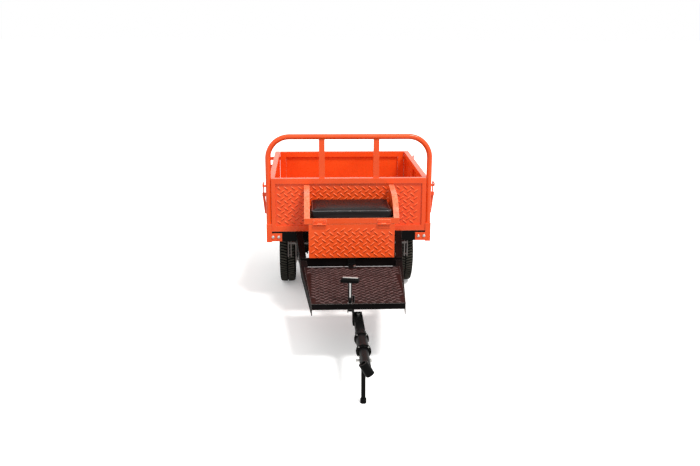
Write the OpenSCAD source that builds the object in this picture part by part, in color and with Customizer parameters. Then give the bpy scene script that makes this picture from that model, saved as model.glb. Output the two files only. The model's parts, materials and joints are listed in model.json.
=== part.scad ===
// Two-wheel hauling trailer with drop sides, toolbox seat, brake pedal, swivel hitch and prop leg.
// Millimetres, +Z up, front towards -Y, ground at Z = 0. The origin is under the middle of the whole trailer.

/* [Bed] */
// Outside width over the two drop sides
bed_w = 1006; // [960:2:1060]
// Length from the front wall's face to the tailgate's outer face
bed_l = 1066; // [1000:2:1140]
// Height of the walls above the deck
wall_h = 340; // [300:2:380]
// Height of the deck's top above the ground
deck_z = 480; // [470:1:500]
// Thickness of the wall frames
wall_t = 34; // [28:1:38]
// Face width of the wall frame rails
rail_w = 34; // [28:1:40]
// Thickness of the wall sheets
sheet_t = 2; // [1.5:0.5:4]
// Thickness of the floor plate
floor_t = 3; // [2:0.5:4]
// Depth of the deck's cross-members
cross_h = 64; // [56:1:70]
// Width of the deck's members
member_w = 45; // [40:1:50]

/* [Guard hoop] */
// Outside diameter of the hoop tube
hoop_tube = 34; // [30:1:38]
// Wall of the hoop tube
hoop_wall = 2.5; // [2:0.5:4]
// Height of the hoop's top above the walls
hoop_rise = 278; // [220:2:320]
// Bend radius of the hoop's corners at the tube's centre
hoop_bend = 135; // [100:1:170]
// Width of the two upright bars
bar_w = 36; // [30:1:42]
// Distance of the upright bars from the middle
bar_x = 171; // [140:1:200]
// Thickness of the corner plates
corner_t = 5; // [4:0.5:6]

/* [Toolbox and seat] */
// Width of the toolbox
box_w = 514; // [480:2:540]
// Depth of the toolbox from the front wall
box_d = 337; // [300:1:350]
// Height of the toolbox's bottom above the ground
box_z = 401; // [395:1:405]
// Height of the toolbox's sheet walls
box_h = 208; // [190:1:215]
// Width of the seat frame over its arms
seat_w = 566; // [550:2:600]
// Height of the seat frame's front angle
seat_rail = 35; // [30:1:40]
// Width of the arms' top strip
arm_w = 33; // [28:1:38]
// Height of the arms above the toolbox at the front wall
arm_rise = 170; // [150:1:190]
// Plate thickness of the seat frame
seat_t = 3; // [2:0.5:4]
// Room between the cushion and each seat arm
cushion_clear = 6; // [4:1:20]
// Height of the cushion's sides
cushion_h = 62; // [50:1:70]
// Height of the cushion's crown above its sides
crown_h = 8; // [6:1:16]

/* [Footboard] */
// Height of the footboard's top above the ground
foot_z = 360; // [352:1:366]
// Distance of the footboard's rear edge in front of the bed
foot_rear = 389; // [380:1:400]
// Length of the footboard
foot_l = 638; // [600:1:680]
// Width of the footboard at its front edge
foot_front_w = 494; // [470:2:510]
// Width of the footboard at its rear edge
foot_rear_w = 570; // [550:2:590]
// Height of the front apron
apron_h = 30; // [24:1:36]
// Depth of the side rails
rail_h = 62; // [56:1:66]
// Width of the side rails
rail_x = 40; // [36:1:44]
// Thickness of the footboard plate
foot_t = 3; // [2:0.5:4]

/* [Brake] */
// Distance of the pedal to the left of the middle
pedal_x = 44; // [44:1:60]
// Height of the pedal pad above the footboard
pedal_h = 120; // [90:1:140]
// Diameter of the pedal stem
stem_d = 16; // [14:1:18]
// Diameter of the sleeve on the pedal stem
stem_sleeve_d = 20; // [18:0.5:21]
// Radius of the brake rods
brake_rod_r = 5; // [4:0.5:5.5]
// Radius of the brake cross shaft
shaft_r = 11; // [10:0.5:13]

/* [Wheels] */
// Outside diameter of the tyres
tyre_d = 470; // [450:2:476]
// Width of the tyres
tyre_w = 108; // [100:1:112]
// Distance between the tyres' middles
track = 804; // [800:2:820]
// Distance of the axle behind the front wall's face
axle_y = 480; // [460:1:500]
// Seat diameter of the rims
rim_d = 254; // [246:1:258]
// Side of the square axle beam
axle_side = 45; // [40:1:48]

/* [Drawbar] */
// Side of the square drawbar tube
bar_side = 45; // [40:1:48]
// Height of the hitch axis above the ground
hitch_z = 262; // [258:1:264]
// Distance of the hitch eye's middle in front of the bed
hitch_reach = 1615; // [1600:1:1640]
// Outside diameter of the swivel housing
housing_d = 58; // [56:1:60]
// Radius of the swivel shaft
swivel_r = 20; // [18:0.5:21]
// Outside diameter of the hitch eye
eye_d = 44; // [42:1:48]
// Bore of the hitch eye
eye_bore = 27; // [24:1:30]
// Length of the hitch eye
eye_l = 66; // [60:1:72]
// Lean of the hitch eye to the left as it stands
eye_lean = 31; // [0:1:40]
// Diameter of the prop leg
leg_d = 22; // [18:1:24]
// Diameter of the prop leg's foot
leg_foot_d = 31; // [28:1:34]

/* [Hidden] */
$fn = 48;
// Clearance between parts that lie beside each other
gap = 0.3;
// Radial clearance of a pin or shaft that turns
fit = 0.05;
// Clearance at the ends of hinge knuckles
end_gap = 0.5;

wall_top = deck_z + wall_h;
deck_low = deck_z - floor_t;
cross_low = deck_low - cross_h;
half_w = bed_w / 2;
side_in = half_w - wall_t;
floor_rim_z = deck_z - gap;
// Hoop legs stand outside the front wall
hoop_r = hoop_tube / 2;
hoop_x = half_w + 5;
hoop_y = wall_t / 2;
hoop_z = wall_top + hoop_rise - hoop_r;
leg_low = deck_z + 47;
front_half = hoop_x - hoop_r - gap;

// Drop hinges of sides and tailgate
hinge_r = 8;
pin_r = 4;
hinge_x = half_w + hinge_r + end_gap;
hinge_y = bed_l + hinge_r + end_gap;
hinge_z = deck_z + 6;
panel_low = deck_z + 2;
side_y0 = wall_t + 4;
side_y1 = bed_l - 1;
gate_half = side_in - 2;
knuckle_l = 30;

// Toggle latches on the drop sides
latch_z = wall_top - 111;
latch_x = half_w + 38;
latch_block = 12;
lever_t = 5;
lever_l = 127;
lever_tilt = 6;
hook_arm = 14;
hook_r = 4;
hook_z = wall_top - 34;
keeper_top = hook_z - hook_r - 5;
keeper_l = 14;
latch_inset = 8;
lever_y = side_y0 + latch_inset + latch_block + end_gap;
hook_y = lever_y + lever_t + end_gap + hook_r;

// Toolbox and seat
box_top = box_z + box_h;
box_half = box_w / 2;
seat_half = seat_w / 2;
arm_in = seat_half - arm_w;
cushion_w = 2 * (arm_in - cushion_clear);
lid_z = box_top + 2;
seat_axis_y = -box_d - 6;
seat_axis_z = box_top + 0.5;
seat_pin_r = 2.5;
seat_knuckle_r = 5;
seat_hinge_w = 78;
seat_hinge_x = 191;
leaf_t = 2.5;
board_t = 12;
board_z = lid_z + seat_t + gap;
cushion_z = board_z + board_t + gap;

// Footboard and side rails
foot_y1 = -foot_rear;
foot_y0 = foot_y1 - foot_l;
plate_low = foot_z - foot_t;
rail_top = plate_low - gap;
rail_front_x = foot_front_w / 2;
rail_turn = atan((foot_rear_w / 2 + 19 - rail_front_x) / foot_l);

// Chassis rails and the springs under them
chassis_x = 295;
chassis_w = 50;
leaf_w = 45;

// Pedal and brake linkage
stem_y = foot_y0 + 27;
pivot_z = plate_low - 39;
rod_z = pivot_z + 17;
pedal_pin_r = 5;
pedal_eye_w = stem_d + 2;
shaft_y = 110;
shaft_z = cross_low - 41;
fork_x = 332;
outer_fork_x = fork_x + 50;
fork_l = 120;
brake_z = shaft_z - fork_l;
cam_y = axle_y - 44;
cam_z = brake_z + 35;
cam_r = 7;
cam_lever_x = chassis_x + leaf_w / 2 + 0.8;
drum_in = fork_x + 11;
backplate_r = 95;
spring_wire = 0.9;
spring_coil = 5.2;
spring_turns = 14;
spring_y0 = stem_y + stem_d / 2 + 4;
spring_y1 = spring_y0 + 84;
spring_z = rod_z + brake_rod_r + 8;

// Axle, springs and wheels
axle_z = tyre_d / 2;
wheel_x = track / 2;
spindle_r = 15;
leaf_h = 6;
leaf_n = 4;
leaf_step = leaf_h + gap;
leaf_bend = 900;
pack_low = axle_z + axle_side / 2 + 7.5;
pack_top = pack_low + leaf_n * leaf_step - gap;
bend_z = pack_top + leaf_bend;
leaf_half = 300;
eye_r = 14;
spring_pin_r = 8;
eye_turn = leaf_half / leaf_bend * 180 / PI;
eye_bend = leaf_bend + leaf_h / 2;
spring_eye_y = eye_bend * sin(eye_turn);
spring_eye_z = bend_z - eye_bend * cos(eye_turn);
flange_x = wheel_x - 18;
bearing_r = 26;
bearing_w = 16;
bearing_in = drum_in + 7;
bearing_out = flange_x + 24;
stud_pcd = 110;
stud_r = 6;
stud_n = 4;

// Drawbar, swivel and leg
bar_rear = foot_y0 + 84;
eye_to_housing = 190;
housing_l = 230;
housing_y0 = -hitch_reach + eye_to_housing;
housing_y1 = housing_y0 + housing_l;
collar_d = housing_d + 16;
collar_w = 15;
nut_chamber = 55;
leg_pivot_y = housing_y0 + 15;
leg_pivot_z = 212;
leg_lean = 5;
leg_foot_h = 22;
leg_pin_r = 6;
leg_foot_y = leg_pivot_y - leg_pivot_z * tan(leg_lean);

// Middle of the whole length, which becomes the origin
frame_shift = -((-hitch_reach - eye_d / 2) + (hinge_y + hinge_r)) / 2;

orange = "OrangeRed";
black = "#1a1a1c";
zinc = "Silver";

// Moves a piece from the front wall's frame to the trailer's own origin
module placed() {
    translate([0, frame_shift, 0]) children();
}

// A block between two opposite corners
module block(low, high) {
    translate(low) cube(high - low);
}

module rod_x(x0, x1, y, z, r) {
    translate([x0, y, z]) rotate([0, 90, 0]) cylinder(r = r, h = x1 - x0);
}

module rod_y(y0, y1, x, z, r) {
    translate([x, y0, z]) rotate([-90, 0, 0]) cylinder(r = r, h = y1 - y0);
}

module rod_z(z0, z1, x, y, r) {
    translate([x, y, z0]) cylinder(r = r, h = z1 - z0);
}

module both_sides() {
    children();
    mirror([1, 0, 0]) children();
}

module on_side(side) {
    if (side < 0) mirror([1, 0, 0]) children();
    else children();
}

// Places along a drop side or the tailgate that carry a hinge
function side_hinges() = [for (k = [0.12, 0.5, 0.88]) side_y0 + k * (side_y1 - side_y0)];
function gate_hinges() = [for (k = [-0.72, 0, 0.72]) k * gate_half];

// A knuckle on a hinge axis along Y, with the strap that joins it to its wall or rail
module side_knuckle(y0, y1, strap_low, strap_high, strap_in) {
    difference() {
        union() {
            rod_y(y0, y1, hinge_x, hinge_z, hinge_r);
            block([strap_in, y0, strap_low], [hinge_x, y1, strap_high]);
        }
        rod_y(y0 - 1, y1 + 1, hinge_x, hinge_z, pin_r + fit);
    }
}

module gate_knuckle(x0, x1, strap_low, strap_high, strap_in) {
    difference() {
        union() {
            rod_x(x0, x1, hinge_y, hinge_z, hinge_r);
            block([x0, strap_in, strap_low], [x1, hinge_y, strap_high]);
        }
        rod_x(x0 - 1, x1 + 1, hinge_y, hinge_z, pin_r + fit);
    }
}

module deck_frame() {
    edge_w = 37;
    edge_h = 40;
    edge_x = half_w - 3;
    inner_l = bed_l - 2 * member_w;
    hang_y = 20;
    color(black) placed() {
        for (y = [0, bed_l - member_w]) block([-edge_x, y, cross_low], [edge_x, y + member_w, deck_low]);
        // Middle cross-members stay between the chassis rails, clear of the tyres
        for (k = [1, 2]) {
            y = member_w + k * inner_l / 3;
            block([-chassis_x, y - member_w / 2, cross_low + 20], [chassis_x, y + member_w / 2, deck_low]);
        }
        both_sides() {
            block([edge_x - edge_w, 0, deck_low - edge_h], [edge_x, bed_l, deck_low]);
            block([chassis_x - chassis_w / 2, 0, cross_low], [chassis_x + chassis_w / 2, bed_l, deck_low]);
            // Outriggers in front of and behind the tyre
            for (y = [axle_y - tyre_d / 2 - 60, axle_y + tyre_d / 2 + 60])
                block([chassis_x, y - 18, deck_low - edge_h], [edge_x - edge_w + 1, y + 18, deck_low]);
            for (y = side_hinges())
                side_knuckle(y - knuckle_l / 2, y + knuckle_l / 2, deck_low - 12, deck_z + 1, edge_x - 2);
            // Hanger plate of the brake cross shaft
            difference() {
                block([chassis_x - 8, shaft_y - hang_y, shaft_z - hang_y],
                    [chassis_x + 8, shaft_y + hang_y, cross_low]);
                rod_x(chassis_x - 9, chassis_x + 9, shaft_y, shaft_z, shaft_r + fit);
            }
        }
        for (x = gate_hinges())
            gate_knuckle(x - knuckle_l / 2, x + knuckle_l / 2, deck_low - 12, deck_z + 1, bed_l - 2);
    }
}

module bed_floor() {
    clear = 1;
    color(orange) placed() {
        block([-half_w + 6, 0, deck_low], [half_w - 6, bed_l - 3, floor_rim_z]);
        // The middle is pressed up, clear of the walls around it
        block([-side_in + clear, wall_t + clear, deck_low],
            [side_in - clear, bed_l - wall_t - clear, deck_z]);
    }
}

module front_wall_frame() {
    stile = 26;
    color(orange) placed() difference() {
        block([-front_half, 0, floor_rim_z], [front_half, wall_t, wall_top]);
        block([-front_half + stile, -1, deck_z + rail_w],
            [front_half - stile, wall_t + 1, wall_top - rail_w]);
    }
}

module front_wall_panel() {
    stile = 26;
    depth = 8;
    color(orange) placed() block([-front_half + stile + gap, depth, deck_z + rail_w + gap],
        [front_half - stile - gap, depth + sheet_t, wall_top - rail_w - gap]);
}

// Centre line of the hoop drawn as a tube of one radius
module hoop_path(r) {
    both_sides() {
        rod_z(leg_low, hoop_z - hoop_bend, hoop_x, hoop_y, r);
        translate([hoop_x - hoop_bend, hoop_y, hoop_z - hoop_bend]) rotate([90, 0, 0])
            rotate_extrude(angle = 90) translate([hoop_bend, 0]) circle(r = r);
    }
    rod_x(-hoop_x + hoop_bend, hoop_x - hoop_bend, hoop_y, hoop_z, r);
}

module guard_hoop() {
    bar_t = 18;
    weld = 1.5;
    color(orange) placed() {
        difference() {
            hoop_path(hoop_r);
            hoop_path(hoop_r - hoop_wall);
        }
        both_sides() block([bar_x - bar_w / 2, hoop_y - bar_t / 2, wall_top],
            [bar_x + bar_w / 2, hoop_y + bar_t / 2, hoop_z - hoop_r + weld]);
    }
}

// Bolts that hold the corner plates to the front cross-member
function corner_bolt_x() = [half_w - 56, half_w - 20];
corner_bolt_z = cross_low + 31;
foot_plate_low = cross_low + 1;
foot_plate_h = 52;

module corner_plates() {
    x0 = hoop_x - hoop_r;
    x1 = hoop_x + hoop_r;
    plate_in = half_w - 76;
    tail = 6;
    keeper_h = 12;
    // Keepers of the front hooks, welded to the hoop legs
    color(orange) placed() both_sides() difference() {
        block([hoop_x, hoop_y - keeper_l / 2, keeper_top - keeper_h],
            [latch_x + hook_r, hoop_y + keeper_l / 2, keeper_top]);
        rod_z(keeper_top - 2 * keeper_h, keeper_top + keeper_h, hoop_x, hoop_y, hoop_r);
    }
    color(orange) placed() both_sides() difference() {
        union() {
            block([plate_in, -corner_t, foot_plate_low], [x1, 0, foot_plate_low + foot_plate_h]);
            block([x0, -corner_t, foot_plate_low - tail], [x1, 0, leg_low]);
            block([x1 - corner_t, -corner_t, foot_plate_low - tail], [x1, wall_t, leg_low]);
            block([x0, -corner_t, leg_low - corner_t], [x1, wall_t, leg_low]);
        }
        for (x = corner_bolt_x()) rod_y(-corner_t - 1, 1, x, corner_bolt_z, 5.5);
    }
}

// A bolt along -Y with a domed head: shank from the seat inwards
module bolt_front(x, y, z, r, shank) {
    rod_y(y, y + shank, x, z, r - 0.4);
    translate([x, y, z]) rotate([90, 0, 0]) cylinder(r = 1.8 * r, h = 0.9 * r);
    translate([x, y - 0.9 * r, z]) rotate([90, 0, 0]) cylinder(r1 = 1.5 * r, r2 = 0.9 * r, h = 0.4 * r);
}

// A hexagon bolt standing on a face, with its shank below
module bolt_up(x, y, z, r, shank) {
    rod_z(z - shank, z, x, y, r - 0.4);
    translate([x, y, z]) cylinder(r = 1.9 * r, h = 1.4 * r, $fn = 6);
}

bracket_t = 4;
bracket_bolt_x = 14;
bracket_bolt_y = foot_y1 - 14;
bar_bolt_y = foot_y0 + 40;
bar_top = hitch_z + bar_side / 2;
bar_low = hitch_z - bar_side / 2;
collar_ys = [housing_y0 + 5, housing_y1 - 75];
collar_bolt_pcd = housing_d + 8;

module frame_bolts() {
    nut_x = bearing_out + bearing_w + gap;
    color(zinc) placed() {
        both_sides() {
            for (x = corner_bolt_x()) bolt_front(x, -corner_t, corner_bolt_z, 5, corner_t);
            // Spindle nut behind the hub cap
            difference() {
                translate([nut_x, axle_y, axle_z]) rotate([0, 90, 0]) cylinder(r = 19, h = 9, $fn = 6);
                rod_x(nut_x - 1, nut_x + 10, axle_y, axle_z, spindle_r - 3);
            }
        }
        bolt_up(bracket_bolt_x, bracket_bolt_y, foot_z + gap + 4, 5, 4 + gap + foot_t);
        bolt_up(0, bar_bolt_y, bar_top, 5, bar_side + 6);
        for (y = collar_ys)
            for (a = [45 : 90 : 315])
                translate([collar_bolt_pcd / 2 * cos(a), y, hitch_z + collar_bolt_pcd / 2 * sin(a)])
                    rotate([90, 0, 0]) cylinder(r = 3.6, h = 4, $fn = 6);
    }
}

module toolbox_body() {
    x1 = box_half;
    y0 = -box_d + sheet_t + gap;
    color(orange) placed() {
        both_sides() block([x1 - sheet_t, y0, box_z], [x1, -gap, box_top]);
        block([-x1, y0, box_z], [x1, -gap, box_z + sheet_t]);
        block([-x1, -gap - sheet_t, box_z], [x1, -gap, box_top]);
    }
}

module toolbox_front() {
    rivet_x = 123;
    rivet_z = box_z + 31;
    color(orange) placed() difference() {
        block([-box_half, -box_d, box_z], [box_half, -box_d + sheet_t, box_top]);
        rod_y(-box_d - 1, -box_d + sheet_t + 1, rivet_x, rivet_z, 4);
    }
}

// One leaf of a butt hinge with its knuckles; the fixed leaf has the outer two, the moving one the middle
module hinge_leaf(x, z0, z1, knuckles, others, strap) {
    y_back = -box_d;
    difference() {
        union() {
            block([x - seat_hinge_w / 2, y_back - leaf_t, z0], [x + seat_hinge_w / 2, y_back, z1]);
            for (k = knuckles) {
                rod_x(x + k[0], x + k[1], seat_axis_y, seat_axis_z, seat_knuckle_r);
                block([x + k[0], seat_axis_y, min(seat_axis_z, seat_axis_z + strap)],
                    [x + k[1], y_back - 0.5, max(seat_axis_z, seat_axis_z + strap)]);
            }
        }
        rod_x(x - seat_hinge_w, x + seat_hinge_w, seat_axis_y, seat_axis_z, seat_pin_r + fit);
        for (k = others)
            block([x + k[0] - end_gap, seat_axis_y - 9, seat_axis_z - 8],
                [x + k[1] + end_gap, y_back + 1, seat_axis_z + 8]);
    }
}

function hinge_third() = seat_hinge_w / 3;
function hinge_outer() = [[-seat_hinge_w / 2, -hinge_third() / 2], [hinge_third() / 2, seat_hinge_w / 2]];
function hinge_middle() = [[-hinge_third() / 2 + end_gap, hinge_third() / 2 - end_gap]];

module seat_hinge_leaves() {
    color(orange) placed() for (x = [-seat_hinge_x, seat_hinge_x])
        hinge_leaf(x, box_top - 25, box_top - 2, hinge_outer(), hinge_middle(), -seat_knuckle_r);
}

module centre_bracket() {
    w = 45;
    t = bracket_t;
    y = -box_d + 2;
    color(black) placed() difference() {
        union() {
            block([-w / 2, y, foot_z + gap], [w / 2, y + t, box_z - gap]);
            block([-w / 2, foot_y1 - 30, foot_z + gap], [w / 2, y + t, foot_z + gap + t]);
            block([-w / 2, y, box_z - gap - t], [w / 2, y + 40, box_z - gap]);
        }
        rod_z(foot_z - 1, foot_z + 9, bracket_bolt_x, bracket_bolt_y, 5.2);
    }
}

// Side rails: angle bars that run level under the footboard, then climb to the front cross-member
rail_y0 = foot_y0 + foot_t + gap;
cross_y = -box_d + 17;
function rail_inner(y) = rail_front_x - rail_x * cos(rail_turn) + tan(rail_turn) * (y - rail_y0 - rail_x
    * sin(rail_turn));
module rail_side_view(inset) {
    front = inset == 0 ? 0 : -1;
    under = inset == 0 ? 0 : -1;
    level = foot_l + 2;
    rear = -rail_y0 / cos(rail_turn) + 12;
    low = rail_top - rail_h;
    climb = deck_low - rail_top;
    polygon([[front, low + under], [level + 6, low + under], [rear - 40, low + climb + under],
        [rear, low + climb + under], [rear, deck_low - inset], [rear - 40, deck_low - inset],
        [level, rail_top - inset], [front, rail_top - inset]]);
}

module frame_rails() {
    web = 4;
    plate_half = rail_inner(cross_y) + (rail_x - web) / cos(rail_turn) + 1;
    color(black) placed() both_sides() intersection() {
        translate([rail_front_x, rail_y0, 0]) rotate([0, 0, -rail_turn]) translate([-rail_x, 0, 0])
            rotate([90, 0, 90]) difference() {
                linear_extrude(rail_x) rail_side_view(0);
                translate([0, 0, -web]) linear_extrude(rail_x) rail_side_view(web);
            }
        // The rails end square against the front cross-member
        block([0, 2 * rail_y0, 0], [bed_w, -gap, 2 * deck_z]);
    }
    // Cross plate between the rails, under the toolbox
    color(black) placed() block([-plate_half, cross_y, rod_z + brake_rod_r + 1.5],
        [plate_half, cross_y + web, box_z - 2 * gap - bracket_t]);
}

module footboard() {
    slot_w = stem_d + 5;
    lug_t = 4;
    lug_x = pedal_eye_w / 2 + 0.4 + lug_t / 2;
    lug_low = pivot_z - 13;
    stiff_h = 14;
    catch_h = 37;
    color(black) placed() {
        difference() {
            translate([0, 0, plate_low]) linear_extrude(foot_t) polygon([[-foot_rear_w / 2, foot_y1],
                [foot_rear_w / 2, foot_y1], [foot_front_w / 2, foot_y0], [-foot_front_w / 2, foot_y0]]);
            block([-pedal_x - slot_w / 2, foot_y0 + 4, plate_low - 1],
                [-pedal_x + slot_w / 2, stem_y + stem_d / 2 + 2, foot_z + 1]);
            rod_z(plate_low - 1, foot_z + 1, bracket_bolt_x, bracket_bolt_y, 5.2);
        }
        block([-foot_front_w / 2 + 1, foot_y0, plate_low - apron_h],
            [foot_front_w / 2 - 1, foot_y0 + foot_t, plate_low]);
        // Stiffeners under the plate, between the rails
        for (y = [spring_y1 + spring_wire + 0.4, foot_y1 - 120])
            block([-rail_front_x + rail_x, y, plate_low - stiff_h],
                [rail_front_x - rail_x, y + 4, plate_low]);
        // Pedal pivot lugs
        for (s = [-1, 1]) difference() {
            block([-pedal_x + s * lug_x - lug_t / 2, stem_y - 14, lug_low],
                [-pedal_x + s * lug_x + lug_t / 2, stem_y + 14, plate_low]);
            rod_x(-pedal_x + s * lug_x - lug_t, -pedal_x + s * lug_x + lug_t, stem_y, pivot_z,
                pedal_pin_r + fit);
        }
        // Catch plate that holds the pressed pedal
        block([-pedal_x + 11, stem_y - 6, foot_z], [-pedal_x + 24, stem_y - 2, foot_z + catch_h]);
    }
}

module drawbar_tube() {
    wall = 4;
    color(black) placed() difference() {
        block([-bar_side / 2, housing_y1 + gap, bar_low], [bar_side / 2, bar_rear, bar_top]);
        block([-bar_side / 2 + wall, housing_y1 - 1, bar_low + wall],
            [bar_side / 2 - wall, bar_rear + 1, bar_top - wall]);
        rod_z(bar_low - 1, bar_top + 1, 0, bar_bolt_y, 5.2);
    }
}

module drawbar_bracket() {
    t = 7;
    wing = 40;
    x0 = -bar_side / 2 - gap - t;
    y0 = foot_y0 + 8;
    y1 = bar_rear - 6;
    color(black) placed() difference() {
        union() {
            block([x0, y0, bar_low - gap - 6], [x0 + t, y1, plate_low - gap]);
            block([x0, y0, bar_low - gap - 6], [bar_side / 2, y1, bar_low - gap]);
            block([x0, y0, plate_low - gap - 5], [bar_side / 2 + wing, y1, plate_low - gap]);
        }
        rod_z(bar_low - 9, bar_low, 0, bar_bolt_y, 5.2);
    }
}

module swivel_housing() {
    cheek_t = 6;
    cheek_x = leg_d / 2 + 2;
    cover = 10;
    color(black) placed() difference() {
        union() {
            rod_y(housing_y0, housing_y1, 0, hitch_z, housing_d / 2);
            for (y = collar_ys) rod_y(y, y + collar_w, 0, hitch_z, collar_d / 2);
            for (s = [-1, 1])
                block([s * (cheek_x + cheek_t / 2) - cheek_t / 2, housing_y0, leg_pivot_z - 12],
                    [s * (cheek_x + cheek_t / 2) + cheek_t / 2, leg_pivot_y + 15, hitch_z - 24]);
        }
        rod_y(housing_y0 - 1, housing_y1 - cover, 0, hitch_z, swivel_r + fit);
        rod_y(housing_y1 - cover - nut_chamber, housing_y1 - cover, 0, hitch_z, housing_d / 2 - 3.5);
        rod_x(-40, 40, leg_pivot_y, leg_pivot_z, leg_pin_r + fit);
    }
}

module leg_pivot_bolt() {
    reach = 38;
    color(zinc) placed() {
        rod_x(-reach + 6, reach - 6, leg_pivot_y, leg_pivot_z, leg_pin_r);
        translate([reach - 6, leg_pivot_y, leg_pivot_z]) rotate([0, 90, 0]) cylinder(r = 10, h = 8,
            $fn = 6);
        // Clip on the bolt's left end
        translate([-reach + 6, leg_pivot_y, leg_pivot_z]) rotate([0, -90, 0]) cylinder(r = 8.5, h = 3);
    }
}

module axle_beam() {
    beam = chassis_x + 34.5;
    flange_r = 38;
    color(black) placed() {
        block([-beam, axle_y - axle_side / 2, axle_z - axle_side / 2],
            [beam, axle_y + axle_side / 2, axle_z + axle_side / 2]);
        both_sides() {
            // Spring seat, brake flange and stub spindle
            block([chassis_x - leaf_w / 2, axle_y - 40, axle_z + axle_side / 2],
                [chassis_x + leaf_w / 2, axle_y + 40, pack_low - gap]);
            rod_x(beam, drum_in - 5 - gap, axle_y, axle_z, flange_r);
            rod_x(beam, bearing_in - gap, axle_y, axle_z, spindle_r + 4);
            rod_x(beam, bearing_out + bearing_w + gap, axle_y, axle_z, spindle_r);
            rod_x(beam, bearing_out + bearing_w + 12, axle_y, axle_z, spindle_r - 3.4);
        }
    }
}

// A bar bent to the spring's arc about an axis along X, from one angle to the other
module spring_arc(r0, r1, half_turn) {
    translate([-leaf_w / 2, axle_y, bend_z]) rotate([0, 90, 0]) rotate([0, 0, -half_turn])
        rotate_extrude(angle = 2 * half_turn) translate([r0, 0]) square([r1 - r0, leaf_w]);
}

module leaf_springs() {
    color(black) placed() both_sides() translate([chassis_x, 0, 0]) {
        difference() {
            union() {
                spring_arc(leaf_bend, leaf_bend + leaf_h, eye_turn - 11 / eye_bend * 180 / PI);
                for (s = [-1, 1]) rod_x(-leaf_w / 2, leaf_w / 2, axle_y + s * spring_eye_y, spring_eye_z,
                    eye_r);
            }
            for (s = [-1, 1])
                rod_x(-leaf_w, leaf_w, axle_y + s * spring_eye_y, spring_eye_z, spring_pin_r + fit);
        }
        for (k = [1 : leaf_n - 1])
            spring_arc(leaf_bend + k * leaf_step, leaf_bend + k * leaf_step + leaf_h,
                eye_turn * (0.88 - 0.2 * (k - 1)));
    }
}

shackle_turn = 22;
shackle_l = 44;
shackle_y = axle_y + spring_eye_y + shackle_l * sin(shackle_turn);
shackle_z = spring_eye_z + shackle_l * cos(shackle_turn);

module spring_hardware() {
    cheek = 5;
    x_in = leaf_w / 2 + gap;
    wide = x_in + cheek;
    front_y = axle_y - spring_eye_y;
    plate_low_z = axle_z - axle_side / 2 - 8;
    u_r = 5;
    u_x = leaf_w / 2 + gap + u_r;
    color(black) placed() both_sides() translate([chassis_x, 0, 0]) {
        // Front hanger with its pin
        for (s = [-1, 1])
            block([s * (x_in + cheek / 2) - cheek / 2, front_y - 20, spring_eye_z - 18],
                [s * (x_in + cheek / 2) + cheek / 2, front_y + 20, cross_low]);
        rod_x(-wide - 2, wide + 2, front_y, spring_eye_z, spring_pin_r);
        // Rear hanger block, shackle plates and their pins
        block([-leaf_w / 2, shackle_y - 14, shackle_z - 12], [leaf_w / 2, shackle_y + 14, cross_low]);
        for (s = [-1, 1]) translate([s * (x_in + cheek / 2), axle_y + spring_eye_y, spring_eye_z])
            rotate([-shackle_turn, 0, 0]) block([-cheek / 2, -13, -13], [cheek / 2, 13, shackle_l + 13]);
        rod_x(-wide - 2, wide + 2, axle_y + spring_eye_y, spring_eye_z, spring_pin_r);
        rod_x(-wide - 2, wide + 2, shackle_y, shackle_z, spring_pin_r);
        // U-bolts over the leaves and their plate under the axle
        for (s = [-1, 1]) {
            y = axle_y + s * (axle_side / 2 + u_r + 1.5);
            for (t = [-1, 1]) rod_z(plate_low_z - 8, pack_top + gap + u_r, t * u_x, y, u_r);
            rod_x(-u_x, u_x, y, pack_top + 1.2 + u_r, u_r);
        }
        block([-u_x - 6, axle_y - axle_side / 2 - 14, plate_low_z],
            [u_x + 6, axle_y + axle_side / 2 + 14, plate_low_z + 8 - gap]);
    }
}

module brake_backplates() {
    color(black) placed() both_sides() difference() {
        rod_x(drum_in - 5, drum_in - 2, axle_y, axle_z, backplate_r);
        rod_x(drum_in - 6, drum_in, axle_y, axle_z, spindle_r + 4.3);
        rod_x(drum_in - 6, drum_in, cam_y, cam_z, cam_r + fit);
    }
}

module hinge_pins() {
    tail = knuckle_l / 2 + 20 + end_gap;
    color(zinc) placed() {
        both_sides() for (y = side_hinges()) rod_y(y - tail, y + tail, hinge_x, hinge_z, pin_r);
        for (x = gate_hinges()) rod_x(x - tail, x + tail, hinge_y, hinge_z, pin_r);
        for (x = [-seat_hinge_x, seat_hinge_x])
            rod_x(x - seat_hinge_w / 2, x + seat_hinge_w / 2, seat_axis_y, seat_axis_z, seat_pin_r);
        rod_x(-pedal_x - pedal_eye_w / 2 - 4.5, -pedal_x + pedal_eye_w / 2 + 4.5, stem_y, pivot_z,
            pedal_pin_r);
    }
}

// Pedal return spring: one tube wound on an axis along Y
ring_n = 8;
spring_steps = spring_turns * ring_n;
function spring_angle(i) = 360 * i / ring_n;
function spring_out(i) = [cos(spring_angle(i)), 0, sin(spring_angle(i))];
function spring_point(i) = [-pedal_x, spring_y0 + (spring_y1 - spring_y0) * i / spring_steps, spring_z]
    + spring_coil * spring_out(i);
function spring_along(i) = unit([-sin(spring_angle(i)), (spring_y1 - spring_y0) / spring_turns / (2 * PI
    * spring_coil),
    cos(spring_angle(i))]);
function unit(v) = v / norm(v);
spring_tail = 2 * spring_wire;
spring_path = concat([spring_point(0) - spring_tail * spring_along(0)],
    [for (i = [0 : spring_steps]) spring_point(i)],
    [spring_point(spring_steps) + spring_tail * spring_along(spring_steps)]);
function spring_step(k) = min(max(k - 1, 0), spring_steps);
function spring_ring(k, sides) = let (n = spring_out(spring_step(k)),
    b = cross(spring_along(spring_step(k)), n))
    [for (j = [0 : sides - 1]) spring_path[k] + spring_wire * (cos(360 * j / sides) * n + sin(360 * j /
        sides) * b)];
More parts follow.
